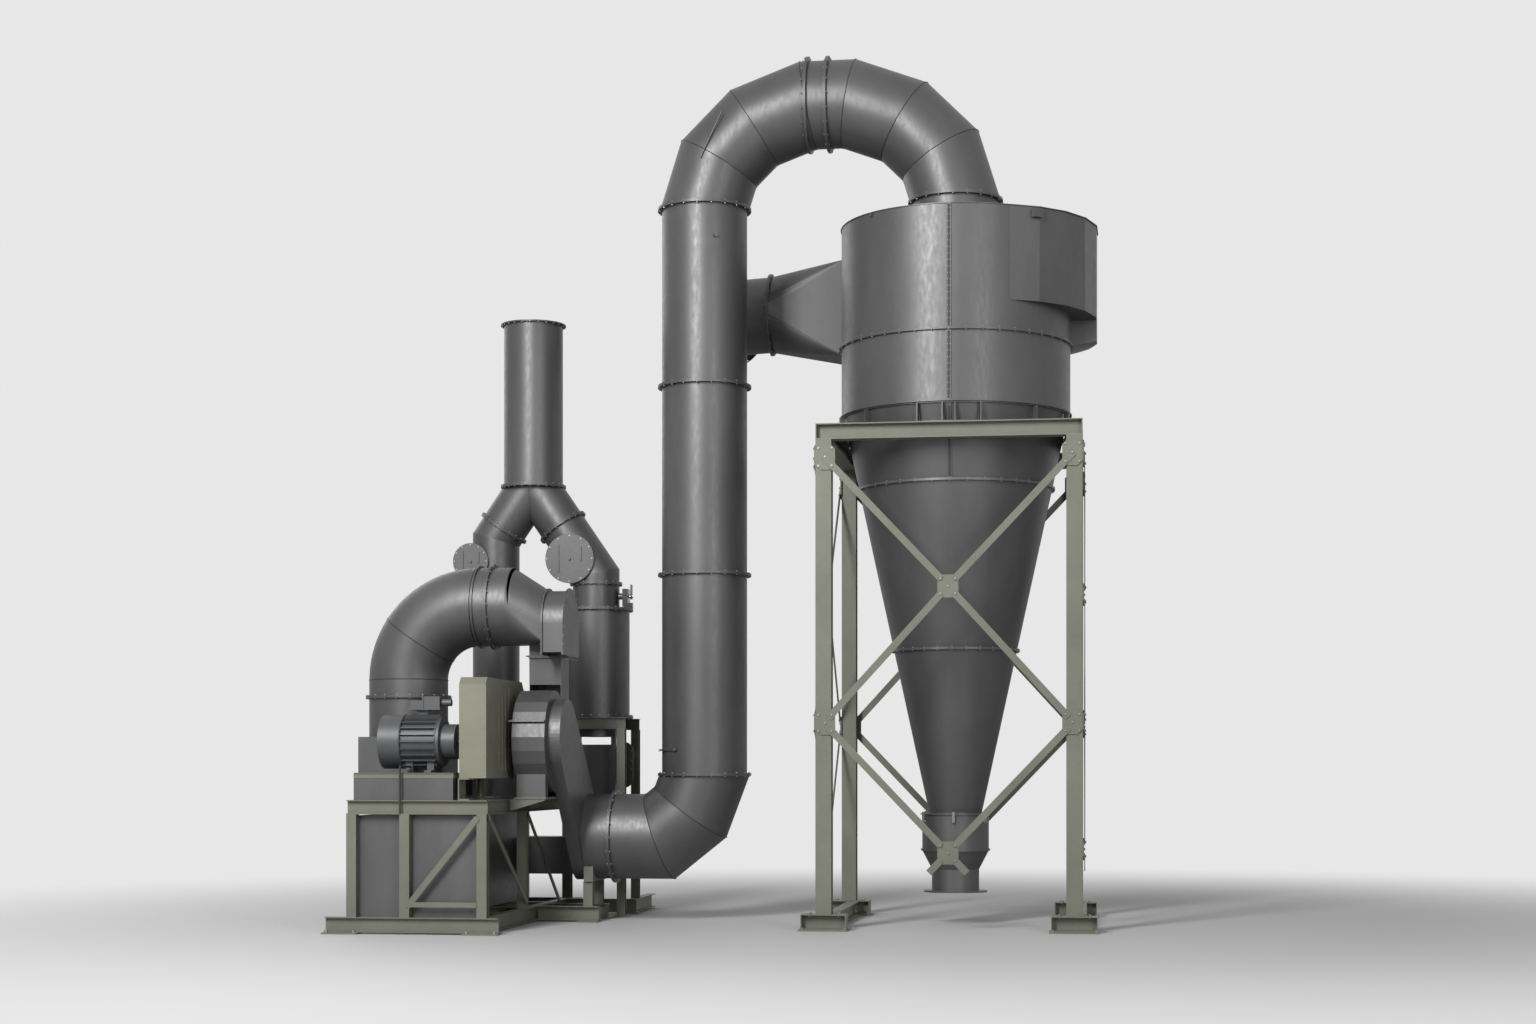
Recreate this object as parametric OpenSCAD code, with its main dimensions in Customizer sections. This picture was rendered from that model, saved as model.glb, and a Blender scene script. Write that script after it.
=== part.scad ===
// Cyclone filter plant: cyclone on its steel frame, swan-neck duct, belt-driven fan skid and exhaust stack.
// Millimetres. Origin on the floor under the cyclone axis, X to the right, Y to the back, Z up.

/* [Cyclone] */
// Outer radius of the cyclone barrel
cyc_r = 1200; // [1150:5:1220]
// Height of the roof above the floor
roof_z = 7300; // [7200:10:7500]
// Height of the bolted joint between the two barrel courses
joint_z = 6050; // [6000:10:6100]
// Height of the barrel's lower edge
barrel_z = 5320; // [5300:5:5360]
// Height of the upper cone joint
ring1_z = 4560; // [4500:10:4620]
// Height of the lower cone joint
ring2_z = 2870; // [2800:10:2950]
// Height of the cone's lower end
cone_z = 1160; // [1140:5:1180]
// Outer radius of the cone's lower end
cone_r = 275; // [260:5:290]
// Wall of the cyclone shell
shell = 8; // [6:1:10]
// Outer radius of the dust hopper
hopper_r = 350; // [340:5:360]
// Outer radius of the dust spout
spout_r = 248; // [240:2:256]
// Height of the spout's lower face
spout_z = 335; // [320:5:350]

/* [Scroll inlet] */
// Growth of the scroll radius in each sixty degrees
scroll_step = 262; // [240:2:270]
// Height of the scroll floor
scroll_z = 6230; // [6200:5:6260]
// Radius of the round inlet duct
inlet_r = 420; // [400:5:430]

/* [Cyclone frame] */
// Leg spacing across the front
frame_w = 2500; // [2480:10:2560]
// Leg spacing from front to back
frame_d = 2500; // [2480:10:2560]
// Height of the frame's top
frame_z = 5100; // [5090:5:5110]
// Size of the H section
beam = 160; // [150:2:170]
// Web and flange thickness of the H section
web = 12; // [10:1:14]
// Width of the bracing bars
brace_w = 70; // [60:2:80]

/* [Swan-neck duct] */
// Outer radius of the large duct
duct_r = 455; // [440:5:460]
// Duct wall
duct_t = 6; // [5:1:8]
// Distance from the cyclone axis to the riser axis
riser_x = 2680; // [2660:10:2720]
// Height of the swan neck's lower flanges above the cyclone's roof
neck_rise = 300; // [280:10:400]
// Height of the riser's bottom joint
riser_bot = 1570; // [1560:10:1600]
// Height of the lower elbow's axis
elbow_z = 905; // [900:5:915]
// Width of a duct flange outside its wall
lip = 45; // [40:1:50]
// Thickness of one duct flange
lip_t = 14; // [12:1:16]

/* [Fan] */
// Height of the fan shaft
fan_z = 1950; // [1940:5:1960]
// Front-to-back place of the fan shaft
fan_y = -1050; // [-1060:5:-1040]
// Radius of the impeller
wheel_r = 430; // [410:5:440]
// Radius of the fan shaft
shaft_r = 35; // [30:1:38]
// Running clearance of each shaft in its bearings
run_gap = 0.05; // [0.02:0.01:0.09]
// Pitch radius of the fan pulley
pulley_fan = 200; // [190:5:210]
// Pitch radius of the motor pulley
pulley_motor = 140; // [130:5:150]
// Front-to-back place of the motor shaft
motor_y = -1900; // [-1910:5:-1890]
// Height of the motor shaft
motor_z = 1900; // [1890:5:1910]
// Outer radius of the motor
motor_r = 282; // [276:2:288]

/* [Exhaust] */
// Outer radius of the exhaust stack
stack_r = 330; // [320:5:340]
// Height of the stack mouth
stack_z = 6620; // [6500:10:6800]
// Outer radius of the vertical silencer
vessel_r = 375; // [365:5:380]
// Outer radius of the two exhaust legs
leg_r = 262; // [255:1:268]
// Outer radius of the return duct
back_r = 410; // [400:5:415]

/* [Skid] */
// Height of the skid's upper beams
skid_z = 1320; // [1310:5:1330]
// Depth of the skid's upper beams
skid_beam = 140; // [130:5:150]

/* [Hidden] */
$fn = 64;
joggle = 1;                               // step between one duct piece and the next
e = 40;                                   // cutters run this far past a face
// cyclone
cone_top = cyc_r - 24;
function cone_at(z) = cone_r + (cone_top - cone_r) * (z - cone_z) / (barrel_z - cone_z);
ring_lip = 30;
ring_t = 12;
seam_w = 46;
foot_h = 150;
foot_l = 460;
anchor_x = 215;
anchor_y = 140;
anchor_hole = 11;
plate = 16;
leg_x = frame_w / 2;
leg_y = frame_d / 2;
beam_z = frame_z - beam;
// scroll outline: angle from +X, growth starts at sixty degrees before it
function scroll_r(a) = cyc_r + 4 + scroll_step * (a + 60) / 60;
scroll_back = scroll_r(90);
scroll_end = -1300;
box_x = -1310;
round_x = -2160;
inlet_y = (cyc_r + scroll_back) / 2 - 10;
inlet_z = (scroll_z + roof_z) / 2;
inlet_bend = 640;
// swan-neck centre line as [x, z] and the tilt of each joint plane
riser_top = roof_z + neck_rise;
top_z = riser_top + 1080;
up_p = [[-riser_x, riser_top], [-riser_x + 155, riser_top + 490], [-riser_x + 535, riser_top + 865],
        [-riser_x + 1120, top_z], [-riser_x / 2, top_z]];
down_p = [[0, riser_top], [-155, riser_top + 490], [-535, riser_top + 865], [-1120, top_z],
          [-riser_x / 2, top_z]];
low_x = -3640;
low_p = [[-riser_x, riser_bot], [-riser_x - 150, riser_bot - 400], [-riser_x - 480, elbow_z],
         [low_x, elbow_z]];
joints_z = [riser_bot, 3700, 5710, riser_top];
// fan, X stations from left to right
guard_l = -4760;
guard_r = -4490;
guard_f = motor_y - 340;
guard_b = fan_y + 340;
guard_bot = 1536;
guard_top = 2535;
fan_l = -4400;
fan_r = -4060;
box_r = -3760;
sheet = 6;
eye_r = 260;
tongue = 45;                              // casing radius beyond the impeller at the tongue
growth = 125;                             // and how much it grows round the casing
function case_r(a) = wheel_r + tongue + growth * (a - 60) / 300;
split_z = 2115;                           // bolted joint between the casing's halves
neck_in = 230;
neck_z = 2800;
// return duct
back_z = 3320;
pipe_x = -5690;
pipe_y = -850;
pipe_bot = 1960;
pipe_top = 2380;
turn_l = -4560;
bend_end = turn_l - 200;                  // joint between the big elbow and the turning box
turn_r = -3950;
turn_w = 350;
turn_lip = 28;                            // flange of the closing box
turn_low = neck_z + turn_lip;             // its flange rests on the fan's neck
turn_arc = turn_low + 302;                // centre of its round top
turn_m = -4170;                           // the duct's round part ends and the closing box begins
spigot_l = -5740;                         // spigot from the return pipe's base into the plenum
spigot_w = 400;
side_post = -750;                         // middle post of the skid's long side
// exhaust
ex_y = 1000;
stack_x = -4800;
right_x = -4080;
fork_z = 4800;
vessel_z = 2210;
vessel_top = 3410;
damper_top = 3700;
damper_z = 3560;
apex_z = 4840;                            // the legs' axes meet here
leg_run = 0.685;                          // sideways run of an exhaust leg for each unit of height
join_x = 340;                             // the fork's lower joints stand this far from the stack axis
left_x = stack_x - 430;
plug_r = 190;
// skid
skid_l = -5860;
skid_r = -4440;
skid_f = -2400;
skid_b = 1400;
tower_r = -3700;
base_z = foot_h + plate;
post = 100;
plenum_r = -4920;
plenum_z = skid_z - skid_beam - 10;
platform_t = skid_z + 270;
mid_x = -4930;                            // long upper beam under the fan pedestal
front_x = -5270;                          // middle front post
deck_l = -5800;                           // motor platform, left and right
deck_r = -4790;
cross_f = -1500;
cross_b = 600;
tower_l = -4500;
tower_f = 560;
tower_b = 1350;
feed_r = tower_b - 45 - ex_y - 3;         // neck below the silencer, 3 mm clear of the tower's beam

// Shared shapes
// chain of round pipe pieces in the XZ plane, each cut on the joint planes; every second piece is drawn in a little
module gores(p, n, r, ext = 0) {
    k = len(p) - 1;
    for (i = [0:k - 1]) {
        dx = p[i + 1][0] - p[i][0];
        dz = p[i + 1][1] - p[i][1];
        l = sqrt(dx * dx + dz * dz);
        a = atan2(dx, dz);
        lo = i == 0 ? ext : 0;
        hi = i == k - 1 ? ext : 0;
        b = l + 3 * r;
        intersection() {
            translate([p[i][0], 0, p[i][1]]) rotate([0, a, 0]) translate([0, 0, -r])
                cylinder(r = r - joggle * (i % 2), h = l + 2 * r);
            translate([p[i][0], 0, p[i][1]]) rotate([0, n[i], 0]) translate([-b, -b, -lo])
                cube([2 * b, 2 * b, 2 * b]);
            translate([p[i + 1][0], 0, p[i + 1][1]]) rotate([0, n[i + 1], 0])
                translate([-b, -b, -2 * b + hi]) cube([2 * b, 2 * b, 2 * b]);
        }
    }
}
function tilt(p, i) = atan2(p[i + 1][0] - p[i][0], p[i + 1][1] - p[i][1]);
function planes(p, first, last) = [for (i = [0:len(p) - 1])
    i == 0 ? first : i == len(p) - 1 ? last : (tilt(p, i - 1) + tilt(p, i)) / 2];
module end_lip(p, a, r, w, back) translate([p[0], 0, p[1]]) rotate([0, a, 0])
    translate([0, 0, back ? -lip_t : 0]) cylinder(r = r + w, h = lip_t);
// mitred duct with a lip at both ends
module duct(p, first, last, r, t, w = lip) {
    n = planes(p, first, last);
    k = len(p) - 1;
    difference() {
        union() {
            gores(p, n, r);
            end_lip(p[0], first, r, w, false);
            end_lip(p[k], last, r, w, true);
        }
        gores(p, n, r - t, e);
    }
}
// straight vertical pipe with lips
module pipe(z0, z1, r, t, w = lip) translate([0, 0, z0]) difference() {
    union() {
        cylinder(r = r, h = z1 - z0);
        cylinder(r = r + w, h = lip_t);
        translate([0, 0, z1 - z0 - lip_t]) cylinder(r = r + w, h = lip_t);
    }
    translate([0, 0, -e]) cylinder(r = r - t, h = z1 - z0 + 2 * e);
}
// H section standing on z = 0, flanges facing -Y and +Y
module h_post(h, s = beam, w = web) {
    translate([-s / 2, -s / 2, 0]) cube([s, w, h]);
    translate([-s / 2, s / 2 - w, 0]) cube([s, w, h]);
    translate([-w / 2, -s / 2 + w / 2, 0]) cube([w, s - w, h]);
}
// H section lying along X from x = 0, flanges up and down, its underside at z = 0
module i_beam(l, h = beam, b = beam, w = web) {
    translate([0, -b / 2, 0]) cube([l, b, w]);
    translate([0, -b / 2, h - w]) cube([l, b, w]);
    translate([0, -w / 2, w / 2]) cube([l, w, h - w]);
}
// flat bar between two points of the XZ plane, t thick towards +Y
module bar(a, b, w, t) {
    dx = b[0] - a[0];
    dz = b[1] - a[1];
    translate([a[0], 0, a[1]]) rotate([0, atan2(dx, dz), 0]) translate([-w / 2, 0, 0])
        cube([w, t, sqrt(dx * dx + dz * dz)]);
}
module hex_bolt(r, h, shank, drop) {
    cylinder(r = r, h = h, $fn = 6);
    translate([0, 0, -drop]) cylinder(r = shank, h = drop + h / 2, $fn = 24);
}

// Cyclone
steel = [0.36, 0.37, 0.38];
olive = [0.42, 0.43, 0.35];
light = [0.5, 0.51, 0.5];

module scroll_outline(grow, low) polygon(concat(
    [for (a = [-60:15:90]) [(scroll_r(a) + grow) * cos(a), (scroll_r(a) + grow) * sin(a)]],
    [[scroll_end, scroll_back + grow], [scroll_end, low], [0, low], [0, 0]]));

// opening in the barrel wall behind the scroll
module scroll_mouth() translate([20, 480, joint_z + 130]) cube([1200, 900, roof_z - joint_z - 190]);

module barrel_upper() color(steel) difference() {
    union() {
        translate([0, 0, joint_z]) cylinder(r = cyc_r, h = roof_z - joint_z);
        translate([0, 0, joint_z]) cylinder(r = cyc_r + ring_lip, h = ring_t);
        translate([-seam_w / 2, -cyc_r - 12, joint_z]) cube([seam_w, 60, roof_z - joint_z]);
        rotate([0, 0, -132]) translate([cyc_r - 30, -15, roof_z - 40]) cube([50, 30, 36]);
    }
    translate([0, 0, joint_z - e]) cylinder(r = cyc_r - shell, h = roof_z - joint_z + 2 * e);
    scroll_mouth();
}

// growing inlet scroll: flat floor at the front, sloping apron at the back, rectangular mouth
module apron(lift) translate([0, 0, joint_z + ring_t + lift])
    cylinder(r1 = cyc_r, r2 = cyc_r + 1400, h = 2 * (scroll_z - joint_z - ring_t));
module scroll() color(steel) difference() {
    union() {
        translate([0, 0, scroll_z + 120]) linear_extrude(roof_z - scroll_z - 120)
            scroll_outline(0, cyc_r - shell);
        intersection() {
            translate([-2000, 150, joint_z]) cube([4000, 2400, roof_z - joint_z]);
            translate([0, 0, joint_z + ring_t]) linear_extrude(roof_z - joint_z - ring_t)
                scroll_outline(0, cyc_r - shell);
            apron_body(0);
        }
        rotate([0, 0, -47]) translate([scroll_r(-47) - 8, -50, roof_z - 110]) cube([60, 100, 90]);
        translate([scroll_end, cyc_r - 40, scroll_z - 40])
            cube([12, scroll_back - cyc_r + 76, roof_z - scroll_z + 40]);
    }
    translate([0, 0, scroll_z + 120 + shell]) linear_extrude(roof_z) scroll_outline(-shell, cyc_r);
    intersection() {
        translate([-2000, 150 + shell, joint_z]) cube([4000, 2400, roof_z - joint_z]);
        translate([0, 0, joint_z]) linear_extrude(roof_z) scroll_outline(-shell, cyc_r);
        apron_body(shell);
    }
    translate([scroll_end - e, cyc_r, scroll_z + shell])
        cube([e + 60, scroll_back - cyc_r - shell, roof_z - scroll_z - shell - 6]);
    translate([0, 0, joint_z - e]) cylinder(r = cyc_r + 0.1, h = roof_z);
}
module apron_body(lift) union() {
    apron(lift);
    translate([-3000, -3000, scroll_z + lift]) cube([6000, 6000, 2000]);
}

module roof() color(steel) difference() {
    union() {
        translate([0, 0, roof_z]) cylinder(r = cyc_r + 10, h = shell);
        translate([0, 0, roof_z]) linear_extrude(shell) scroll_outline(12, cyc_r - shell - 12);
    }
    translate([0, 0, roof_z - e]) cylinder(r = duct_r + 0.1, h = 4 * e);
}

module barrel_lower() color(steel) difference() {
    union() {
        translate([0, 0, barrel_z]) cylinder(r = cyc_r, h = joint_z - barrel_z);
        translate([0, 0, barrel_z]) cylinder(r = cyc_r + 16, h = ring_t);
        translate([0, 0, joint_z - ring_t]) cylinder(r = cyc_r + ring_lip, h = ring_t);
        translate([-seam_w / 2, -cyc_r - 12, barrel_z]) cube([seam_w, 60, joint_z - barrel_z]);
    }
    translate([0, 0, barrel_z - e]) cylinder(r = cyc_r - shell, h = joint_z - barrel_z + 2 * e);
}

// clean-gas tube hanging below the roof, with the collar above it
module vortex_finder() color(steel) difference() {
    union() {
        translate([0, 0, scroll_z - 700]) cylinder(r = duct_r, h = riser_top - scroll_z + 700);
        translate([0, 0, roof_z + shell]) cylinder(r = duct_r + 40, h = 12);
        translate([0, 0, riser_top - lip_t]) cylinder(r = duct_r + lip, h = lip_t);
    }
    translate([0, 0, scroll_z - 800]) cylinder(r = duct_r - duct_t, h = riser_top);
}

module cone_course(z0, z1, seam) difference() {
    union() {
        translate([0, 0, z0]) cylinder(r1 = cone_at(z0), r2 = cone_at(z1), h = z1 - z0);
        translate([0, 0, z0]) cylinder(r = cone_at(z0) + ring_lip, h = ring_t);
        translate([0, 0, z1 - ring_t]) cylinder(r = cone_at(z1) + (z1 == barrel_z ? 20 : ring_lip),
            h = ring_t);
        if (seam) intersection() {
            translate([0, 0, z0]) cylinder(r1 = cone_at(z0) + 12, r2 = cone_at(z1) + 12, h = z1 - z0);
            translate([-seam_w / 2, -2 * cyc_r, z0]) cube([seam_w, 2 * cyc_r, z1 - z0]);
        }
    }
    translate([0, 0, z0 - e]) cylinder(r1 = cone_at(z0 - e) - shell, r2 = cone_at(z1 + e) - shell,
                                       h = z1 - z0 + 2 * e);
}
module cone_upper() color(steel) cone_course(ring1_z, barrel_z, true);
module cone_middle() color(steel) cone_course(ring2_z, ring1_z, false);
module cone_lower() color(steel) cone_course(cone_z, ring2_z, false);

// dust hopper with its clamp bars, taper and spout
hop_z = cone_z - 390;                      // hopper bottom
taper_z = hop_z - 195;                     // spout top
module hopper() color(steel) difference() {
    union() {
        translate([0, 0, cone_z - ring_t]) cylinder(r = hopper_r + 20, h = ring_t);
        translate([0, 0, hop_z]) cylinder(r = hopper_r, h = cone_z - hop_z);
        translate([0, 0, hop_z]) cylinder(r = hopper_r + 14, h = 20);
        translate([0, 0, taper_z]) cylinder(r1 = spout_r, r2 = hopper_r, h = hop_z - taper_z + 0.01);
        translate([0, 0, spout_z]) cylinder(r = spout_r, h = taper_z - spout_z + 0.01);
        translate([0, 0, spout_z]) cylinder(r = spout_r + 86, h = 16);
    }
    translate([0, 0, hop_z - 0.01]) cylinder(r = hopper_r - shell, h = cone_z - ring_t - hop_z);
    translate([0, 0, cone_z - e]) cylinder(r = cone_r - shell, h = 2 * e);
    translate([0, 0, taper_z - 0.01])
        cylinder(r1 = spout_r - shell, r2 = hopper_r - shell, h = hop_z - taper_z + 0.01);
    translate([0, 0, spout_z - e]) cylinder(r = spout_r - shell, h = taper_z - spout_z + e);
    for (a = [22.5:45:359]) rotate([0, 0, a]) translate([spout_r + 58, 0, spout_z - e])
        cylinder(r = 9, h = 3 * e, $fn = 24);
}
module hopper_clamps() color(light) for (a = [30:60:359]) rotate([0, 0, a]) {
    translate([hopper_r + 20, -14, cone_z - 90]) cube([16, 28, 90 + ring_t + 8]);
    translate([hopper_r + 0.2, -10, cone_z - 90]) cube([21, 20, 24]);
}

// ring on the frame's beams and the ribs under the barrel flange
module support_ring() color(steel) {
    difference() {
        translate([0, 0, frame_z]) cylinder(r = cyc_r + 56, h = 18);
        translate([0, 0, frame_z - e]) cylinder(r = cone_at(frame_z + 18) + 14, h = 4 * e);
    }
    for (a = concat([for (i = [15:30:359]) i], [-93, -87])) rotate([0, 0, a])
        translate([cyc_r - 22, -6, frame_z + 17])
        cube([60, 12, barrel_z - frame_z - 17 - ring_t]);
}

// duct piece from the scroll's rectangular mouth to the round inlet duct
module inlet_transition() color(steel) difference() {
    union() {
        hull() {
            translate([box_x, cyc_r - 8, scroll_z]) cube([6, scroll_back - cyc_r + 8, roof_z - scroll_z]);
            translate([round_x, inlet_y, inlet_z]) rotate([0, 90, 0]) cylinder(r = inlet_r, h = 6, $fn = 48);
        }
        translate([scroll_end - 14, cyc_r - 30, scroll_z - 40])
            cube([14, scroll_back - cyc_r + 70, roof_z - scroll_z + 40]);
        translate([round_x, inlet_y, inlet_z]) rotate([0, 90, 0]) cylinder(r = inlet_r + 36, h = lip_t);
    }
    hull() {
        translate([scroll_end - 10, cyc_r + shell, scroll_z + shell])
            cube([6, scroll_back - cyc_r - 2 * shell, roof_z - scroll_z - 2 * shell]);
        translate([round_x + 20, inlet_y, inlet_z]) rotate([0, 90, 0])
            cylinder(r = inlet_r - shell, h = 6, $fn = 48);
    }
    translate([round_x - e, inlet_y, inlet_z]) rotate([0, 90, 0]) cylinder(r = inlet_r - shell, h = e + 24);
    translate([scroll_end - 30, cyc_r + shell, scroll_z + shell])
        cube([e + 30, scroll_back - cyc_r - 2 * shell, roof_z - scroll_z - 2 * shell]);
}
module inlet_elbow() color(steel) difference() {
    translate([round_x, inlet_y, inlet_z]) rotate([-90, 0, 0])
        duct(concat([for (a = [0, 30, 60, 90]) [-inlet_bend * sin(a), inlet_bend * (1 - cos(a))]],
            [[-inlet_bend, inlet_bend + 160]]), -90, 0, inlet_r, shell, 36);
    for (a = [11.25:22.5:359]) translate([round_x - inlet_bend, inlet_y + inlet_bend + 160 - lip_t, inlet_z])
        rotate([-90, 0, 0]) rotate([0, 0, a]) translate([inlet_r + 19, 0, -e])
            cylinder(r = 7, h = 2 * e + lip_t, $fn = 24);
}

// Cyclone frame
module cyclone_legs() color(olive) for (x = [-leg_x, leg_x], y = [-leg_y, leg_y])
    translate([x, y, foot_h + plate]) {
    h_post(beam_z - foot_h - plate);
}
module cyclone_beams() color(olive) translate([0, 0, beam_z]) {
    for (y = [-leg_y, leg_y]) translate([-leg_x - beam / 2, y, 0]) {
        i_beam(frame_w + beam);
        for (x = [0, frame_w + beam - 10]) translate([x, -beam / 2, web / 2]) cube([10, beam, beam - web]);
    }
    for (x = [-leg_x, leg_x]) translate([x, -leg_y + beam / 2, 0]) rotate([0, 0, 90]) i_beam(frame_d - beam);
}
// foot blocks with anchor plates, and the beam between them
module cyclone_feet() color(olive) for (x = [-leg_x, leg_x]) {
    for (y = [-leg_y, leg_y]) translate([x - foot_l / 2, y, 0]) difference() {
        union() {
            translate([0, 0, plate]) i_beam(foot_l, foot_h, beam + 40, 10);
            translate([-20, -anchor_y - 30, 0]) cube([foot_l + 40, 2 * anchor_y + 60, plate]);
            for (u = [0, foot_l - 10]) translate([u, -beam / 2 - 20, plate]) cube([10, beam + 40, foot_h]);
        }
        for (u = [-anchor_x, anchor_x], v = [-anchor_y, anchor_y])
            translate([foot_l / 2 + u, v, -e]) cylinder(r = anchor_hole, h = plate + 2 * e, $fn = 24);
        for (u = [-150, 150], v = [-62, 62])
            translate([foot_l / 2 + u, v, foot_h - e]) cylinder(r = 10.5, h = 2 * e, $fn = 24);
    }
    translate([x + 60, -leg_y + beam / 2 + 20, plate]) rotate([0, 0, 90])
        i_beam(frame_d - beam - 40, foot_h, 120, 10);
}
module foot_bolts() color(light) for (x = [-leg_x, leg_x], y = [-leg_y, leg_y], u = [-150, 150],
    v = [-62, 62])
    translate([x + u, y + v, foot_h + plate]) hex_bolt(17, 12, 10, 24);

// gusset heights of the bracing
g_top = 4760;
g_x1 = 3450;
g_mid = 2090;
g_x2 = 790;
module brace(a, b, c0, c1) {
    l = norm(b - a);
    u = (b - a) / l;
    bar(a + u * c0, b - u * c1, brace_w, 10);
}
module brace_set(w) {
    h = w / 2 - 10;
    for (s = [-1, 1]) {
        brace([s * h, g_top], [0, g_x1], 0, 100);
        brace([s * h, g_mid], [0, g_x1], 70, 100);
        brace([s * h, g_mid], [0, g_x2], 70, 100);
        brace([0, g_x2], [s * 190, g_x2 - 190 * (g_mid - g_x2) / h], 100, 0);
    }
}
module brace_bars() color(olive) {
    translate([0, -leg_y - beam / 2 - 24, 0]) brace_set(frame_w);
    translate([0, leg_y + beam / 2 + 14, 0]) brace_set(frame_w);
    translate([-leg_x - beam / 2 - 14, 0, 0]) rotate([0, 0, 90]) brace_set(frame_d);
    translate([leg_x + beam / 2 + 24, 0, 0]) rotate([0, 0, 90]) brace_set(frame_d);
}
module gusset(w, h) linear_extrude(14) polygon([[-w, -h + 50], [-w + 50, -h], [w - 50, -h], [w, -h + 50],
    [w, h - 50], [w - 50, h], [-w + 50, h], [-w, h - 50]]);
module gusset_set(w) {
    for (z = [g_x1, g_x2]) translate([0, 14, z]) rotate([90, 0, 0]) gusset(105, 115);
    for (s = [-1, 1]) {
        translate([s * (w / 2 - 20), 14, g_top]) rotate([90, 0, 0]) gusset(100, 130);
        translate([s * (w / 2 - 20), 14, g_mid]) rotate([90, 0, 0]) gusset(100, 120);
    }
}
module gussets() color(olive) {
    translate([0, -leg_y - beam / 2 - 14, 0]) gusset_set(frame_w);
    translate([0, leg_y + beam / 2, 0]) gusset_set(frame_w);
    translate([-leg_x - beam / 2, 0, 0]) rotate([0, 0, 90]) gusset_set(frame_d);
    translate([leg_x + beam / 2 + 14, 0, 0]) rotate([0, 0, 90]) gusset_set(frame_d);
}

// Swan-neck duct
module roof_bend() color(steel) duct(down_p, 0, -90, duct_r, duct_t);
module riser_bend() color(steel) {
    duct(up_p, 0, 90, duct_r, duct_t);
    translate([-riser_x / 2 - 225, 0, top_z]) rotate([0, 90, 0]) difference() {
        cylinder(r = duct_r + lip, h = 2 * lip_t);
        translate([0, 0, -e]) cylinder(r = duct_r - duct_t / 2, h = 2 * e + 2 * lip_t);
    }
}
module riser(i) translate([-riser_x, 0, 0]) pipe(joints_z[i], joints_z[i + 1], duct_r, duct_t);
module riser_lower() color(steel) riser(0);
module riser_middle() color(steel) riser(1);
module riser_upper() color(steel) riser(2);
module lower_elbow() color(steel) duct(low_p, 180, 270, duct_r, duct_t);

// Fan
// profile drawn in YZ and extruded along X
module along_x(x, l) translate([x, 0, 0]) rotate([90, 0, 90]) linear_extrude(l) children();
module x_cyl(x, y, z, r, l) translate([x, y, z]) rotate([0, 90, 0]) cylinder(r = r, h = l);
module case_profile(g) translate([fan_y, fan_z]) polygon(concat(
    [for (a = [60:15:360]) [(case_r(a) + g) * cos(a), (case_r(a) + g) * sin(a)]],
    [[case_r(360) + g, neck_z - fan_z], [neck_in - g, neck_z - fan_z]]));
module inlet_profile(g) hull() {
    translate([fan_y, fan_z]) circle(r = 400 + g);
    translate([0, elbow_z]) circle(r = duct_r + 12 + g);
}
inlet_w = 130;
module inlet_box() color(steel) difference() {
    union() {
        along_x(fan_r, inlet_w) inlet_profile(0);
        x_cyl(fan_r + inlet_w - 1, 0, elbow_z, duct_r, low_x - fan_r - inlet_w + 1);
        x_cyl(low_x - lip_t, 0, elbow_z, duct_r + lip, lip_t);
    }
    along_x(fan_r + sheet, inlet_w - 2 * sheet) inlet_profile(-sheet);
    x_cyl(fan_r - e, fan_y, fan_z, eye_r, 2 * e);
    x_cyl(fan_r + inlet_w / 2, 0, elbow_z, duct_r - duct_t, low_x - fan_r + e);
}
// two posts on floor beams with a saddle under the inlet duct
module box_legs() {
    for (y = [-250, 250]) translate([0, y, 0]) {
        translate([box_r - 130, 0, base_z]) h_post(430 - base_z + 1, 100, 10);
        translate([skid_r - 5, 0, plate]) i_beam(box_r - skid_r - 15, foot_h, 120, 10);
        translate([box_r - 220, y > 0 ? -60 : -200, 0]) cube([220, 260, plate]);
    }
    difference() {
        translate([fan_r + inlet_w + 2, -330, 430]) cube([100, 660, 180]);
        x_cyl(box_r - 200, 0, elbow_z, duct_r + 0.1, 200);
    }
}

module fan_casing() color(steel) difference() {
    union() {
        along_x(fan_l, fan_r - fan_l) case_profile(0);
        translate([fan_l - 0.01, fan_y + neck_in - 30, neck_z - 14])
            cube([fan_r - fan_l + 0.01, case_r(360) - neck_in + 60, 14]);
        intersection() {
            along_x(fan_l - 36, fan_r - fan_l + 34) case_profile(36);
            translate([fan_l - 60, fan_y - 1000, split_z - 9]) cube([600, 1700, 18]);
        }
        for (y = [fan_y - 330, fan_y + 330]) translate([fan_l + 20, y - 60, skid_z + 20])
            cube([fan_r - fan_l - 40, 120, 240]);
    }
    along_x(fan_l + sheet, fan_r - fan_l - 2 * sheet) case_profile(-sheet);
    translate([fan_l + sheet, fan_y + neck_in + sheet, neck_z - 100])
        cube([fan_r - fan_l - 2 * sheet, case_r(360) - neck_in - 2 * sheet, 200]);
    x_cyl(fan_l - e, fan_y, fan_z, shaft_r + 6, 2 * e);
    x_cyl(fan_r - e, fan_y, fan_z, eye_r + 20, 2 * e);
}
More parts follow.
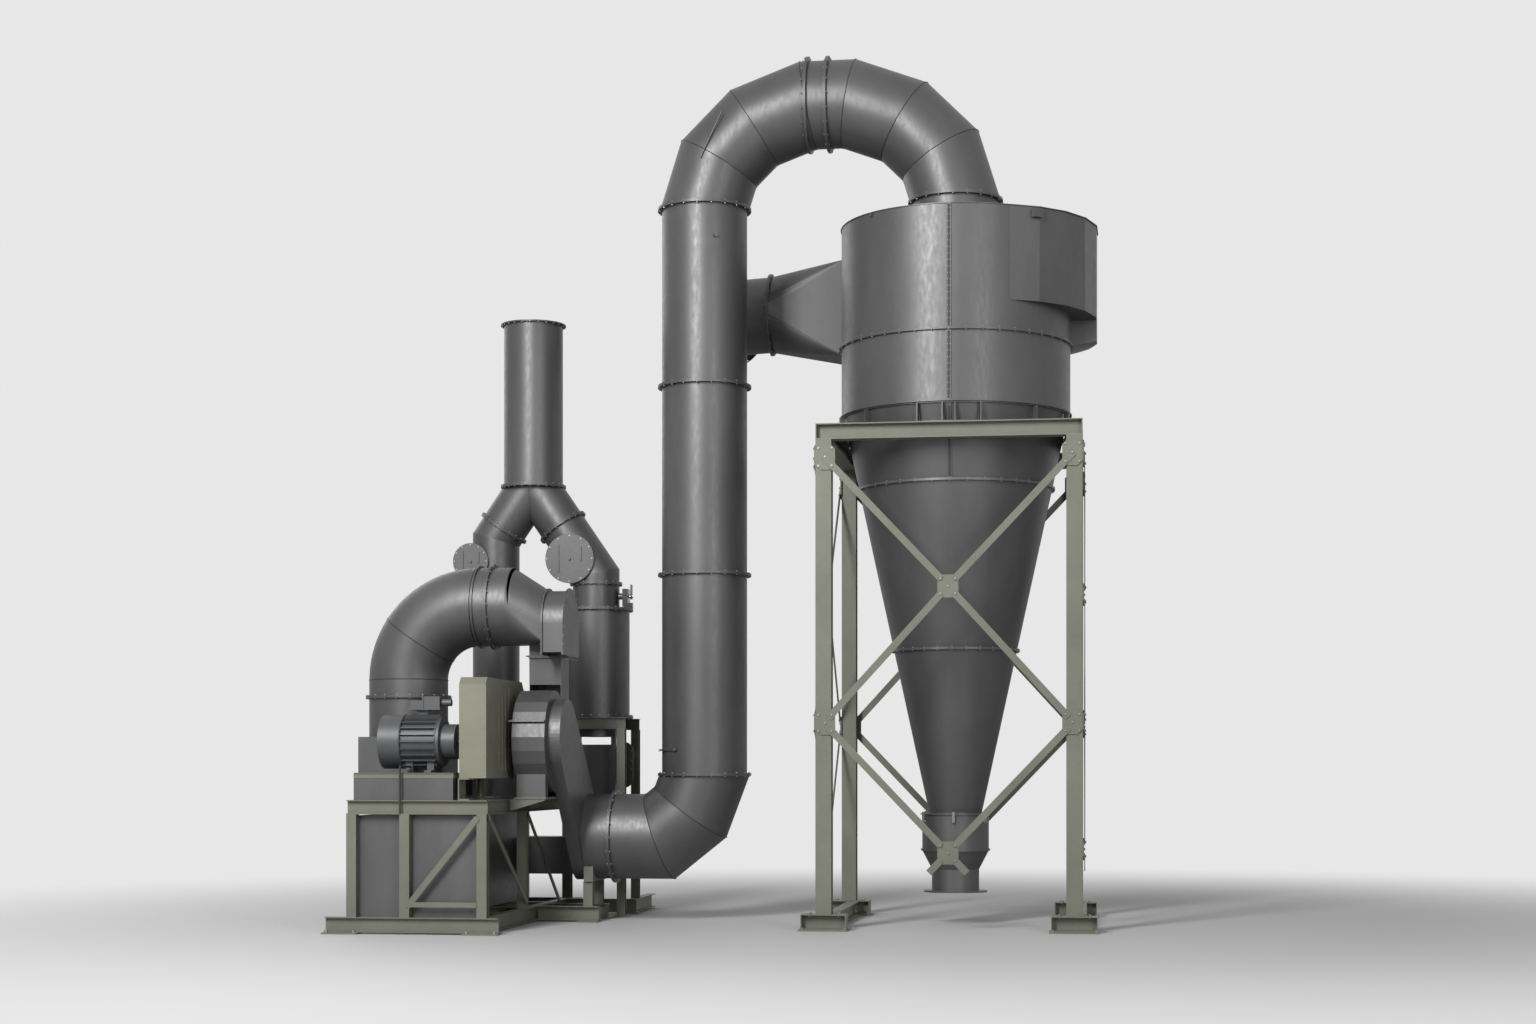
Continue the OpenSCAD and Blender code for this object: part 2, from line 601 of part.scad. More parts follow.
// bell mouth bolted into the casing's right side
module inlet_ring() color(light) translate([fan_r - 64, fan_y, fan_z]) rotate([0, 90, 0]) difference() {
    union() {
        cylinder(r = eye_r - 10, h = 64);
        translate([0, 0, 64 - sheet]) cylinder(r = eye_r + 19, h = sheet);
    }
    translate([0, 0, -e]) cylinder(r = eye_r - 16, h = 64 + 2 * e);
}
module fan_feet() {
    translate([fan_l + 4, fan_y - 430, skid_z]) cube([fan_r - fan_l - 8, 860, 20]);
    for (y = [fan_y - 420, fan_y + 408]) translate([skid_r, y, skid_z]) rotate([-90, 0, 0]) linear_extrude(12)
        polygon([[0, 0], [fan_r - skid_r - 20, 0], [fan_r - skid_r - 20, 14], [0, 120]]);
}
module impeller() color(light) translate([fan_l + 50, fan_y, fan_z]) rotate([0, 90, 0]) difference() {
    union() {
        cylinder(r = wheel_r, h = 8);
        translate([0, 0, -30]) cylinder(r = 80, h = 110);
        translate([0, 0, 210]) difference() {
            cylinder(r = wheel_r, h = 8);
            translate([0, 0, -e]) cylinder(r = eye_r - 4, h = 2 * e + 8);
        }
        for (a = [0:36:359]) rotate([0, 0, a]) translate([210, 0, 4]) rotate([0, 0, -32])
            translate([-50, -4, 0])
            cube([wheel_r - 200, 8, 210]);
    }
    translate([0, 0, -60]) cylinder(r = shaft_r, h = 260);
}
brg_a = -4960;
brg_l = 90;
brg_b = -4484;
brg_b_l = 80;
module fan_shaft() color(light) {
    x_cyl(brg_a - 30, fan_y, fan_z, shaft_r, fan_l + 124 - brg_a + 30);
}
pul_x = -4680;
pul_w = 100;
module pulley(r, bore) difference() {
    union() {
        cylinder(r = r - 12, h = pul_w);
        for (i = [0:3]) translate([0, 0, i * 30]) cylinder(r = r + 6, h = 10);
        translate([0, 0, -14]) cylinder(r = bore + 32, h = pul_w + 24);
    }
    translate([0, 0, -e]) cylinder(r = bore, h = pul_w + 2 * e);
    if (r > 160) for (a = [0:60:359]) rotate([0, 0, a]) translate([r * 0.58, 0, -e])
        cylinder(r = 38, h = pul_w + 2 * e);
}
module fan_pulley() color(steel) translate([pul_x, fan_y, fan_z]) rotate([0, 90, 0])
    pulley(pulley_fan, shaft_r);
module belt_loop(g, over) hull() {
    translate([-over, fan_y, fan_z]) rotate([0, 90, 0])
        cylinder(r = pulley_fan - 10.6 + g, h = 18 + 2 * over, $fn = 32);
    translate([-over, motor_y, motor_z]) rotate([0, 90, 0])
        cylinder(r = pulley_motor - 10.6 + g, h = 18 + 2 * over, $fn = 32);
}
module belts() color([0.08, 0.08, 0.08]) for (i = [0:2]) translate([pul_x + 11 + i * 30, 0, 0]) difference() {
    belt_loop(14, 0);
    belt_loop(0, 1);
}
module block(x, l) difference() {
    union() {
        x_cyl(x, fan_y, fan_z, 95, l);
        translate([x, fan_y - 130, fan_z - 110]) cube([l, 260, 50]);
        translate([x, fan_y - 80, fan_z - 110]) cube([l, 160, 110]);
    }
    x_cyl(x - e, fan_y, fan_z, shaft_r + run_gap, l + 2 * e);
}
module fan_bearings() color(steel) {
    block(brg_a, brg_l);
    block(brg_b, brg_b_l);
}
module fan_pedestal() {
    translate([brg_a - 30, fan_y - 140, skid_z]) cube([fan_l - 10 - brg_a + 30, 280, 20]);
    translate([brg_a, fan_y - 110, skid_z + 20]) h_box(brg_l, 220, fan_z - 110 - skid_z - 20);
    translate([brg_b, fan_y - 110, skid_z + 20]) h_box(brg_b_l, 220, fan_z - 110 - skid_z - 20);
}
module h_box(a, b, h) difference() {
    cube([a, b, h]);
    translate([-e, 14, 14]) cube([a / 2 - 6 + e, b - 28, h - 28]);
    translate([a / 2 + 6, 14, 14]) cube([a, b - 28, h - 28]);
}

// Motor
mot_l = -5620;
mot_fin0 = -5390;
mot_fin1 = -5050;
mot_r = -4860;
shaft_m = 30;
core = motor_r - 46;
module motor_body() color(steel) difference() {
    union() {
        x_cyl(mot_l, motor_y, motor_z, motor_r - 12, mot_fin0 - mot_l - 4);
        x_cyl(mot_fin0 - 4.01, motor_y, motor_z, core, mot_fin1 - mot_fin0 + 8);
        for (a = [0:15:359]) translate([mot_fin0, motor_y, motor_z]) rotate([a, 0, 0])
            translate([0, -4, core - 14]) cube([mot_fin1 - mot_fin0 + 10, 8, motor_r - core + 8]);
        x_cyl(mot_fin1, motor_y, motor_z, core + 16, 46);
        x_cyl(mot_fin1 + 45.99, motor_y, motor_z, core - 60, mot_r - mot_fin1 - 46);
        for (x = [mot_fin0 + 30, mot_fin1 - 90], y = [-1, 1])
            translate([x, motor_y + (y > 0 ? 90 : -250), platform_t]) cube([70, 160, 26]);
        for (x = [mot_fin0 + 30, mot_fin1 - 90], y = [-1, 1])
            translate([x, motor_y + (y > 0 ? 90 : -150), platform_t + 20])
                cube([70, 60, motor_z - platform_t - 20 - motor_r + 122]);
    }
    x_cyl(mot_fin0 + 20, motor_y, motor_z, core - 60, mot_fin1 - mot_fin0);
    x_cyl(mot_fin0 - 60, motor_y, motor_z, shaft_m + run_gap, mot_r - mot_fin0 + 100);
    x_cyl(mot_l + 14, motor_y, motor_z, motor_r - 22, mot_fin0 - mot_l - 18 - 20);
    for (a = [0:30:359], r = [110, 190]) translate([mot_l - e, motor_y, motor_z]) rotate([a + r / 10, 0, 0])
        translate([0, 0, r]) rotate([0, 90, 0]) cylinder(r = 17, h = 2 * e, $fn = 24);
}
module motor_rotor() color(light) {
    x_cyl(mot_l + 60, motor_y, motor_z, shaft_m, pul_x + pul_w + 10 - mot_l - 60);
    x_cyl(mot_fin0 + 60, motor_y, motor_z, core - 72, mot_fin1 - mot_fin0 - 90);
}
module cooling_fan() color(light) translate([mot_l + 80, motor_y, motor_z]) rotate([0, 90, 0]) difference() {
    union() {
        cylinder(r = 60, h = 80);
        translate([0, 0, 60]) cylinder(r = 200, h = 8);
        for (a = [0:45:359]) rotate([0, 0, a]) translate([50, -4, 4]) cube([180, 8, 60]);
    }
    translate([0, 0, -e]) cylinder(r = shaft_m, h = 200);
}
module motor_pulley() color(steel) translate([pul_x, motor_y, motor_z]) rotate([0, 90, 0])
    pulley(pulley_motor, shaft_m);
module terminal_box() color(steel) translate([mot_fin0 + 60, motor_y - 110, motor_z]) difference() {
    union() {
        translate([60, 60, core]) cube([110, 100, motor_r + 40 - core]);
        translate([-20, 0, motor_r + 36]) cube([330, 220, 16]);
        translate([0, 20, motor_r + 40]) cube([120, 180, 90]);
        translate([130, 20, motor_r + 40]) cube([170, 180, 130]);
        translate([122, 10, motor_r + 40]) cube([14, 200, 146]);
        translate([300, 110, motor_r + 110]) rotate([0, 90, 0]) cylinder(r = 36, h = 100);
    }
    translate([68, 68, core]) cube([94, 84, motor_r + 90 - core]);
    x_cyl(-200, 110, 0, motor_r - 5.8, 600);
}
// cable from the skid's front beam up to the motor foot
module conduit() color([0.1, 0.1, 0.1]) translate([mot_fin0 + 80, skid_f - 11.02, 0]) {
    translate([0, 0, skid_z - 130]) cylinder(r = 11, h = platform_t + 60 - skid_z + 130);
    translate([0, 0, platform_t + 60]) sphere(r = 11);
    translate([0, 0, platform_t + 60]) rotate([-90, 0, 0]) cylinder(r = 11, h = motor_y - 150 - skid_f + 11);
}
module motor_platform() color(olive) {
    difference() {
        translate([deck_l, skid_f + 50, skid_z]) cube([deck_r - deck_l, 850, platform_t - skid_z]);
        translate([deck_l + 12, skid_f + 62, skid_z - e])
            cube([deck_r - deck_l - 24, 826, platform_t - skid_z - 20 + e]);
        for (x = [deck_l - e, deck_r - 13]) translate([x, skid_f + 150, skid_z + 40])
            cube([e + 14, 650, 180]);
    }
    for (y = [motor_y - 190, motor_y + 150]) translate([deck_l + 300, y, platform_t - 40])
        cube([560, 40, 20.01]);
}
module belt_guard() color([0.55, 0.55, 0.47]) {
    difference() {
        union() {
            guard_shape(0);
            for (i = [0:3]) translate([guard_r - 2, (guard_f + guard_b) / 2 - 250 + i * 125, guard_bot + 70])
                cube([10, 60, guard_top - guard_bot - 140]);
            for (y = [guard_f, guard_b - 26]) translate([guard_r - 2, y, guard_bot + 2])
                cube([6, 26, guard_top - guard_bot - 76]);
        }
        guard_shape(-3);
        x_cyl(guard_l - e, fan_y, fan_z, shaft_r + 14, 2 * e);
        x_cyl(guard_l - e, motor_y, motor_z, shaft_m + 14, 2 * e);
        x_cyl(guard_r - e, fan_y, fan_z, shaft_r + 14, 3 * e);
    }
}
module guard_shape(g) along_x(guard_l - g, guard_r - guard_l + 2 * g) polygon([
    [guard_f - g, guard_bot - g], [guard_f - g, guard_top - 70 + g * 0.4],
        [guard_f + 70 - g * 0.4, guard_top + g],
    [guard_b - 70 + g * 0.4, guard_top + g], [guard_b + g, guard_top - 70 + g * 0.4],
        [guard_b + g, guard_bot - g]]);
module guard_brackets() for (y = [guard_f - 150, cross_f - 50]) translate([guard_l + 30, y, skid_z])
    difference() {
    cube([110, y == cross_f - 50 ? 100 : 240, guard_bot - skid_z]);
    translate([12, -e, 14]) cube([110, 400, guard_bot - skid_z - 28]);
}

// Return duct
module turning_profile(g) {
    translate([pipe_y - turn_w - g, turn_low - g])
        square([2 * turn_w + 2 * g, turn_arc - turn_low + g + 0.01]);
    intersection() {
        translate([pipe_y, turn_arc]) circle(r = turn_w + g);
        translate([pipe_y - 2 * turn_w, turn_arc]) square([4 * turn_w, 2 * turn_w]);
    }
}
module narrowing(g, over) hull() {
    x_cyl(turn_l - over, pipe_y, back_z, back_r + g, 2);
    along_x(turn_m + over, 2) intersection() {
        turning_profile(g);
        translate([pipe_y - 1000, 2940 - g]) square([2000, 2000]);
    }
}
module turning_box() color(steel) difference() {
    union() {
        narrowing(0, 0);
        along_x(turn_m, turn_r - turn_m) turning_profile(0);
        for (x = [turn_m - 12, turn_r - 14]) along_x(x, 14) turning_profile(turn_lip);
        x_cyl(bend_end, pipe_y, back_z, back_r, turn_l - bend_end + 1);
        x_cyl(bend_end, pipe_y, back_z, back_r + 36, lip_t);
        translate([fan_l, fan_y + neck_in, neck_z]) cube([fan_r - fan_l, case_r(360) - neck_in, 300]);
        translate([fan_l - 30, fan_y + neck_in - 30, neck_z])
            cube([fan_r - fan_l + 60, case_r(360) - neck_in + 60, 12]);
    }
    narrowing(-sheet, 10);
    along_x(turn_m - 30, turn_r - turn_m + 30 - sheet) intersection() {
        turning_profile(-sheet);
        translate([pipe_y - 1000, 2946]) square([2000, 2000]);
    }
    along_x(turn_m + sheet, turn_r - turn_m - 2 * sheet) turning_profile(-sheet);
    x_cyl(bend_end - e, pipe_y, back_z, back_r - duct_t, turn_l - bend_end + 2 * e);
    translate([fan_l + sheet, fan_y + neck_in + sheet, neck_z - e])
        cube([fan_r - fan_l - 2 * sheet, case_r(360) - neck_in - 2 * sheet, 300 + e]);
}
bend_r = 760;
bend_z = back_z - bend_r;
module bend_solid(r, over) {
    translate([0, 0, pipe_top - over]) cylinder(r = r, h = bend_z - pipe_top + over);
    translate([bend_r, 0, bend_z]) rotate([90, 0, 0]) rotate([0, 0, 90]) rotate_extrude(angle = 90)
        translate([bend_r, 0]) circle(r = r - joggle);
    translate([bend_r, 0, back_z]) rotate([0, 90, 0]) cylinder(r = r, h = bend_end - pipe_x - bend_r + over);
}
module return_bend() color(steel) translate([pipe_x, pipe_y, 0]) difference() {
    union() {
        bend_solid(back_r, 0);
        translate([0, 0, pipe_top]) cylinder(r = back_r + 36, h = lip_t);
        translate([bend_end - pipe_x - lip_t, 0, back_z]) rotate([0, 90, 0])
            cylinder(r = back_r + 36, h = lip_t);
        translate([bend_end - pipe_x - 150, 0, back_z]) rotate([0, 90, 0])
            cylinder(r = back_r + 24, h = lip_t);
    }
    bend_solid(back_r - duct_t, e);
}
module return_pipe() color(steel) translate([pipe_x, pipe_y, 0]) difference() {
    union() {
        translate([0, 0, pipe_bot]) cylinder(r = back_r, h = pipe_top - pipe_bot);
        translate([0, 0, pipe_top - lip_t]) cylinder(r = back_r + 36, h = lip_t);
        translate([-back_r - 6, -back_r - 6, skid_z + 0.1])
            cube([2 * back_r + 12, 2 * back_r + 12, pipe_bot - skid_z]);
        translate([spigot_l - pipe_x, -300, plenum_z]) cube([spigot_w, 600, skid_z - plenum_z + 1]);
    }
    translate([0, 0, pipe_bot - 60]) cylinder(r = back_r - duct_t, h = pipe_top - pipe_bot + 100);
    translate([-back_r, -back_r, skid_z + 6]) cube([2 * back_r, 2 * back_r, pipe_bot - skid_z - 12]);
    translate([spigot_l - pipe_x + 6, -294, plenum_z - e])
        cube([spigot_w - 12, 588, skid_z - plenum_z + 2 * e]);
}

// Exhaust
module at_stack() translate([0, ex_y, 0]) children();
function leg_pt(s, d) = [stack_x + s * d * leg_run, apex_z - d];
leg_a = atan(leg_run);
fork_d = join_x / leg_run;
mitre_l = (stack_x - left_x) / leg_run;
mitre_r = (right_x - stack_x) / leg_run;
module stack() color(steel) at_stack() translate([stack_x, 0, 0]) union() {
    pipe(fork_z, stack_z, stack_r, 5, 36);
}
module leg_solid(s, r, x0, x1) translate([stack_x, 0, apex_z]) rotate([0, 180 - s * leg_a, 0])
    translate([0, 0, x0])
    cylinder(r = r, h = x1 - x0);
fork_l = fork_d / cos(leg_a);
module fork() color(steel) at_stack() difference() {
    union() {
        intersection() {
            union() for (s = [-1, 1]) leg_solid(s, leg_r, -300, fork_l);
            translate([stack_x - 900, -900, fork_z - 1500]) cube([1800, 1800, 1500]);
        }
        translate([stack_x, 0, fork_z - lip_t]) cylinder(r = stack_r + 36, h = lip_t);
        for (s = [-1, 1]) leg_solid(s, leg_r + 32, fork_l - lip_t, fork_l);
    }
    for (s = [-1, 1]) leg_solid(s, leg_r - 5, -200, fork_l + e);
}
// one exhaust leg below the fork, with the round valve body on it
module exhaust_leg(s, z0, mx, my, dr, dx, dz) difference() {
    union() {
        duct([[mx, z0], [mx, my], leg_pt(s, fork_d)], 0, -s * leg_a, leg_r, 5, 32);
        translate([dx, -280, dz]) rotate([-90, 0, 0]) cylinder(r = dr, h = 560);
    }
    translate([dx, -281, dz]) rotate([-90, 0, 0]) cylinder(r = dr - 5, h = 556);
    gores([[mx, z0], [mx, my], leg_pt(s, fork_d)],
        planes([[mx, z0], [mx, my], leg_pt(s, fork_d)], 0, -s * leg_a),
        leg_r - 5, e);
}
module left_leg() color(steel) at_stack() exhaust_leg(-1, plenum_z, left_x, apex_z - mitre_l, plug_r,
    left_x - 220, 3950);
module right_leg() color(steel) at_stack() exhaust_leg(1, damper_top, right_x, apex_z - mitre_r, 262,
    right_x - 240, 3966);
module valve_covers() color(light) at_stack() {
    for (c = [[left_x - 220, 3950, plug_r + 12], [right_x - 240, 3966, 274]]) translate([c[0], -280, c[1]])
        rotate([90, 0, 0]) {
        cylinder(r = c[2], h = 12);
        translate([0, 0, 12]) cylinder(r = 18, h = 20);
        translate([-c[2] * 0.5, -c[2] * 0.55, 12]) cube([20, c[2] * 1.1, 14]);
        translate([c[2] * 0.5 - 20, -c[2] * 0.1, 12]) cube([20, c[2] * 0.6, 14]);
    }
}
module silencer() color(steel) at_stack() translate([right_x, 0, vessel_z]) difference() {
    union() {
        cylinder(r = vessel_r, h = vessel_top - vessel_z);
        cylinder(r = vessel_r + 40, h = lip_t);
        translate([0, 0, vessel_top - vessel_z - lip_t]) cylinder(r = vessel_r + 40, h = lip_t);
    }
    translate([0, 0, -e]) cylinder(r = vessel_r - 5, h = vessel_top - vessel_z + 2 * e);
}
// slotted inner pipe of the silencer
module silencer_core() color(light) at_stack() translate([right_x, 0, vessel_z + 120]) difference() {
    union() {
        cylinder(r = leg_r - 20, h = vessel_top - vessel_z - 120);
        translate([0, 0, vessel_top - vessel_z - 132]) cylinder(r = leg_r + 30, h = 12);
    }
    translate([0, 0, -e]) cylinder(r = leg_r - 24, h = vessel_top - vessel_z);
    for (z = [120:220:vessel_top - vessel_z - 320], a = [0:60:179]) rotate([0, 0, a])
        translate([-leg_r, -15, z]) cube([2 * leg_r, 30, 140]);
}
module damper_body() color(steel) at_stack() translate([right_x, 0, vessel_top]) difference() {
    union() {
        cylinder(r = vessel_r + 40, h = lip_t);
        cylinder(r = leg_r, h = damper_top - vessel_top);
        translate([0, 0, damper_top - vessel_top - lip_t]) cylinder(r = leg_r + 32, h = lip_t);
        translate([-leg_r - 50, 0, damper_z - vessel_top]) rotate([0, 90, 0])
            cylinder(r = 36, h = 2 * leg_r + 100);
    }
    translate([0, 0, -e]) cylinder(r = leg_r - 5, h = 2000);
    translate([-leg_r - 30, 0, damper_z - vessel_top]) rotate([0, 90, 0])
        cylinder(r = 16 + run_gap, h = 2 * leg_r + 120);
}
module damper_blade() color(light) at_stack() translate([right_x, 0, damper_z]) {
    translate([0, -4, 0]) rotate([-90, 0, 0]) cylinder(r = leg_r - 14, h = 8);
    translate([-leg_r + 40, 0, 0]) rotate([0, 90, 0]) cylinder(r = 26, h = 2 * leg_r - 80);
    translate([-leg_r - 29, 0, 0]) rotate([0, 90, 0]) cylinder(r = 16, h = 2 * leg_r + 190);
}
module damper_lever() color(steel) at_stack() translate([right_x + leg_r + 130, 0, damper_z]) difference() {
    union() {
        rotate([0, 90, 0]) cylinder(r = 34, h = 20);
        translate([0, -16, 0]) cube([20, 32, 130]);
    }
    translate([-e, 0, 0]) rotate([0, 90, 0]) cylinder(r = 16, h = 3 * e);
}
module damper_drive() color([0.12, 0.12, 0.13]) at_stack() translate([right_x + leg_r + 50.3, 0, damper_z])
    difference() {
    union() {
        translate([0, -70, -110]) cube([60, 140, 190]);
        translate([10, -60, vessel_top + lip_t + 0.2 - damper_z]) cube([102, 60, 60]);
    }
    translate([-e, 0, 0]) rotate([0, 90, 0]) cylinder(r = 18, h = 5 * e);
}

// Skid
module plenum() color(steel) difference() {
    union() {
        translate([skid_l + post, skid_f + post, base_z])
            cube([plenum_r - skid_l - post, skid_b - skid_f - 2 * post, plenum_z - base_z]);
        translate([plenum_r - 10, skid_f + post, base_z])
            cube([skid_r - plenum_r + 10, 6, plenum_z - base_z]);
    }
    translate([skid_l + post + 6, skid_f + post + 6, base_z + 6])
        cube([plenum_r - skid_l - post - 12, skid_b - skid_f - 2 * post - 12, plenum_z - base_z - 12]);
    translate([spigot_l + 6, pipe_y - 294, plenum_z - e]) cube([spigot_w - 12, 588, 2 * e]);
    translate([left_x, ex_y, plenum_z - e]) cylinder(r = leg_r - 5, h = 2 * e);
    translate([plenum_r - e, ex_y - 200, base_z + 300]) cube([2 * e, 400, 400]);
}
// closed duct from the plenum's right side up to the silencer
module silencer_feed() color(steel) at_stack() difference() {
    union() {
        translate([plenum_r, -206, base_z + 294]) cube([right_x + 262 - plenum_r, 412, 412]);
        translate([right_x - 262, -206, base_z + 294]) cube([524, 412, 1760 - base_z]);
        translate([right_x, 0, 1990]) cylinder(r = feed_r, h = vessel_z - 1990);
        translate([right_x, 0, vessel_z - lip_t]) cylinder(r = vessel_r + 40, h = lip_t);
    }
    translate([plenum_r - e, -200, base_z + 300]) cube([right_x + 256 - plenum_r + e, 400, 400]);
    translate([right_x - 256, -200, base_z + 300]) cube([512, 400, 1748 - base_z]);
    translate([right_x, 0, 1900]) cylinder(r = feed_r - 6, h = vessel_z);
}
module skid_base() {
    for (y = [skid_f, skid_b]) translate([skid_l, y + (y == skid_f ? 50 : -50), plate])
        i_beam(skid_r - skid_l, foot_h, post, 10);
    for (x = [skid_l + 50, skid_r - 50]) translate([x, skid_f + post, plate]) rotate([0, 0, 90])
        i_beam(skid_b - skid_f - 2 * post, foot_h, post, 10);
    for (y = [-1500, -500, 500]) translate([skid_l + post, y, plate])
        i_beam(skid_r - skid_l - 2 * post, foot_h, post, 10);
    for (x = [skid_l - 240, skid_r - 240], y = [skid_f - 60, skid_b - 140]) translate([x, y, 0])
        difference() {
        cube([360, 200, plate]);
        for (u = [40, 320], v = [30, 170]) translate([u, v, -e]) cylinder(r = 11, h = 3 * e, $fn = 24);
    }
    translate([skid_r - 0.01, skid_b - 250, plate]) i_beam(tower_r - skid_r + 50, foot_h, post, 10);
    translate([tower_r - 150, skid_b - 380, 0]) cube([250, 260, plate]);
    translate([tower_r, skid_b - 200, plate]) rotate([0, 0, 90]) i_beam(1100, foot_h, post, 10);
}
module skid_posts() {
    for (x = [skid_l + 50, front_x, skid_r - 50]) translate([x, skid_f + 50, base_z])
        h_post(skid_z - skid_beam - base_z, post, 9);
    for (x = [skid_l + 50, skid_r - 50], y = [side_post, skid_b - 50])
        translate([x, y, base_z]) h_post(skid_z - skid_beam - base_z, post, 9);
}
module skid_top() translate([0, 0, skid_z - skid_beam]) {
    for (y = [skid_f + 50, skid_b - 50]) translate([skid_l, y, 0])
        i_beam(skid_r - skid_l, skid_beam, post, 10);
    for (x = [skid_l + 50, skid_r - 50]) translate([x, skid_f + post, 0]) rotate([0, 0, 90])
        i_beam(skid_b - skid_f - 2 * post, skid_beam, post, 10);
    for (y = [cross_f, cross_b]) translate([skid_l + post, y, 0])
        i_beam(skid_r - skid_l - 2 * post, skid_beam, post, 10);
    translate([mid_x, cross_f + 50, 0]) rotate([0, 0, 90])
        i_beam(cross_b - cross_f - 100, skid_beam, post, 10);
}
module skid_braces() color(olive) {
    translate([0, skid_f - 10, 0]) bar([skid_r - 90, 1150], [front_x + 30, 270], 60, 10);
    translate([front_x + 10, skid_f - 10, 270]) cube([skid_r - 110 - front_x, 10, 50]);
    translate([skid_r + 10, 0, 0]) rotate([0, 0, 90]) {
        bar([skid_f + 80, 1150], [side_post - 20, 230], 60, 10);
        bar([side_post + 20, 1150], [740, 150], 60, 10);
    }
}
// tower carrying the silencer
module tower() {
    for (x = [tower_l, tower_r], y = [tower_f, tower_b]) if (x == tower_r)
        translate([x, y, y == tower_f ? plate : base_z])
            h_post(vessel_z - 140 - (y == tower_f ? plate : base_z), 90, 9);
    translate([tower_r - 90, tower_f - 90, 0]) cube([180, 180, plate]);
    for (y = [tower_f, tower_b]) translate([tower_l + 10, y, skid_z]) h_post(vessel_z - 140 - skid_z, 90, 9);
    for (y = [tower_f, tower_b]) translate([tower_l - 35, y, vessel_z - 140])
        i_beam(tower_r - tower_l + 80, 140 - lip_t, 90, 9);
}
// arched bracket from the skid's side beam up to the tower's post
module arch() {
    along_x(tower_l - 30, 8) difference() {
        arch_outline(0);
        translate([tower_b - 620, 1500]) circle(r = 90);
    }
    along_x(tower_l - 30, 80) difference() {
        arch_outline(0);
        arch_outline(-10);
        translate([-3000, 0]) square([6000, skid_z + 12]);
    }
}
module arch_outline(g) intersection() {
    translate([tower_f - 640, skid_z]) square([tower_b - 45 - tower_f + 640, 690 + g]);
    translate([tower_b - 330, skid_z]) circle(r = 960 + g, $fn = 96);
}
module skid_frame() color(olive) {
    arch();
    skid_base();
    skid_posts();
    skid_top();
    tower();
    box_legs();
    guard_brackets();
}
module fan_stand() color(olive) {
    fan_pedestal();
    fan_feet();
}

barrel_upper();
scroll();
roof();
barrel_lower();
vortex_finder();
cone_upper();
cone_middle();
cone_lower();
hopper();
hopper_clamps();
support_ring();
inlet_transition();
inlet_elbow();
cyclone_legs();
cyclone_beams();
cyclone_feet();
foot_bolts();
brace_bars();
gussets();
roof_bend();
riser_bend();
riser_lower();
riser_middle();
riser_upper();
lower_elbow();
inlet_box();
fan_casing();
inlet_ring();
fan_stand();
impeller();
fan_shaft();
fan_pulley();
belts();
fan_bearings();
motor_body();
motor_rotor();
cooling_fan();
motor_pulley();
terminal_box();
motor_platform();
belt_guard();
turning_box();
return_bend();
return_pipe();
stack();
fork();
left_leg();
right_leg();
valve_covers();
silencer();
silencer_core();
damper_body();
damper_blade();
damper_lever();
damper_drive();
plenum();
silencer_feed();
skid_frame();
skid_braces();
conduit();
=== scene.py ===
import math

import bmesh
import bpy
from mathutils import Matrix, Vector


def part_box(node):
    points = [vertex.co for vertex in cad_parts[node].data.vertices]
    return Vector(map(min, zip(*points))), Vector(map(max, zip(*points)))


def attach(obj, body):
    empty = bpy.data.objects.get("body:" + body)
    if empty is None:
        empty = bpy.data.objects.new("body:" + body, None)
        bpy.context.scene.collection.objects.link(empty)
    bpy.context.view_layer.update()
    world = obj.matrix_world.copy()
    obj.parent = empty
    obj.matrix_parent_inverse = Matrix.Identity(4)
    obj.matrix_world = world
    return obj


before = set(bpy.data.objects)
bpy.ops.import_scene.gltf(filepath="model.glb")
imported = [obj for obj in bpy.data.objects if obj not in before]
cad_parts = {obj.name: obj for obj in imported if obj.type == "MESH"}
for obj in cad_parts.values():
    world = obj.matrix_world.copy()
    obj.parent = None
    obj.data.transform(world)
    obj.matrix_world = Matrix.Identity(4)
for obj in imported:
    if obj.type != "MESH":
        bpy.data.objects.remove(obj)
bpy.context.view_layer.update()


# Camera. It stands 1.6 m above the floor in front of the plant and looks level at it, a little to the left.
# The vertical shift brings the top of the swan neck into the picture, as in the photograph.
eye = Vector((1.3816, -24.2819, 1.617))
pan_left = math.radians(7.918)
focal_px, horizon_px = 2300, 770
image_w, image_h = 1536, 1024
camera = bpy.data.objects.new("camera", bpy.data.cameras.new("camera"))
camera.location = eye
camera.rotation_euler = (math.pi / 2, 0, pan_left)
camera.data.sensor_width = 36
camera.data.lens = camera.data.sensor_width * focal_px / image_w
camera.data.shift_y = (horizon_px - image_h / 2) / image_w
camera.data.clip_end = 200
bpy.context.scene.collection.objects.link(camera)
bpy.context.scene.camera = camera


# Cyclone body. The barrel, cone, scroll and roof are rolled and welded sheet under one dark satin grey
# paint, with a slow drift of tone along the sheets and a slightly uneven gloss.
def add_node(tree, kind, **values):
    """Adds a shader node and sets the inputs named by the keywords, with _ for a space."""
    node = tree.nodes.new(kind)
    for name, value in values.items():
        node.inputs[name.replace("_", " ")].default_value = value
    return node


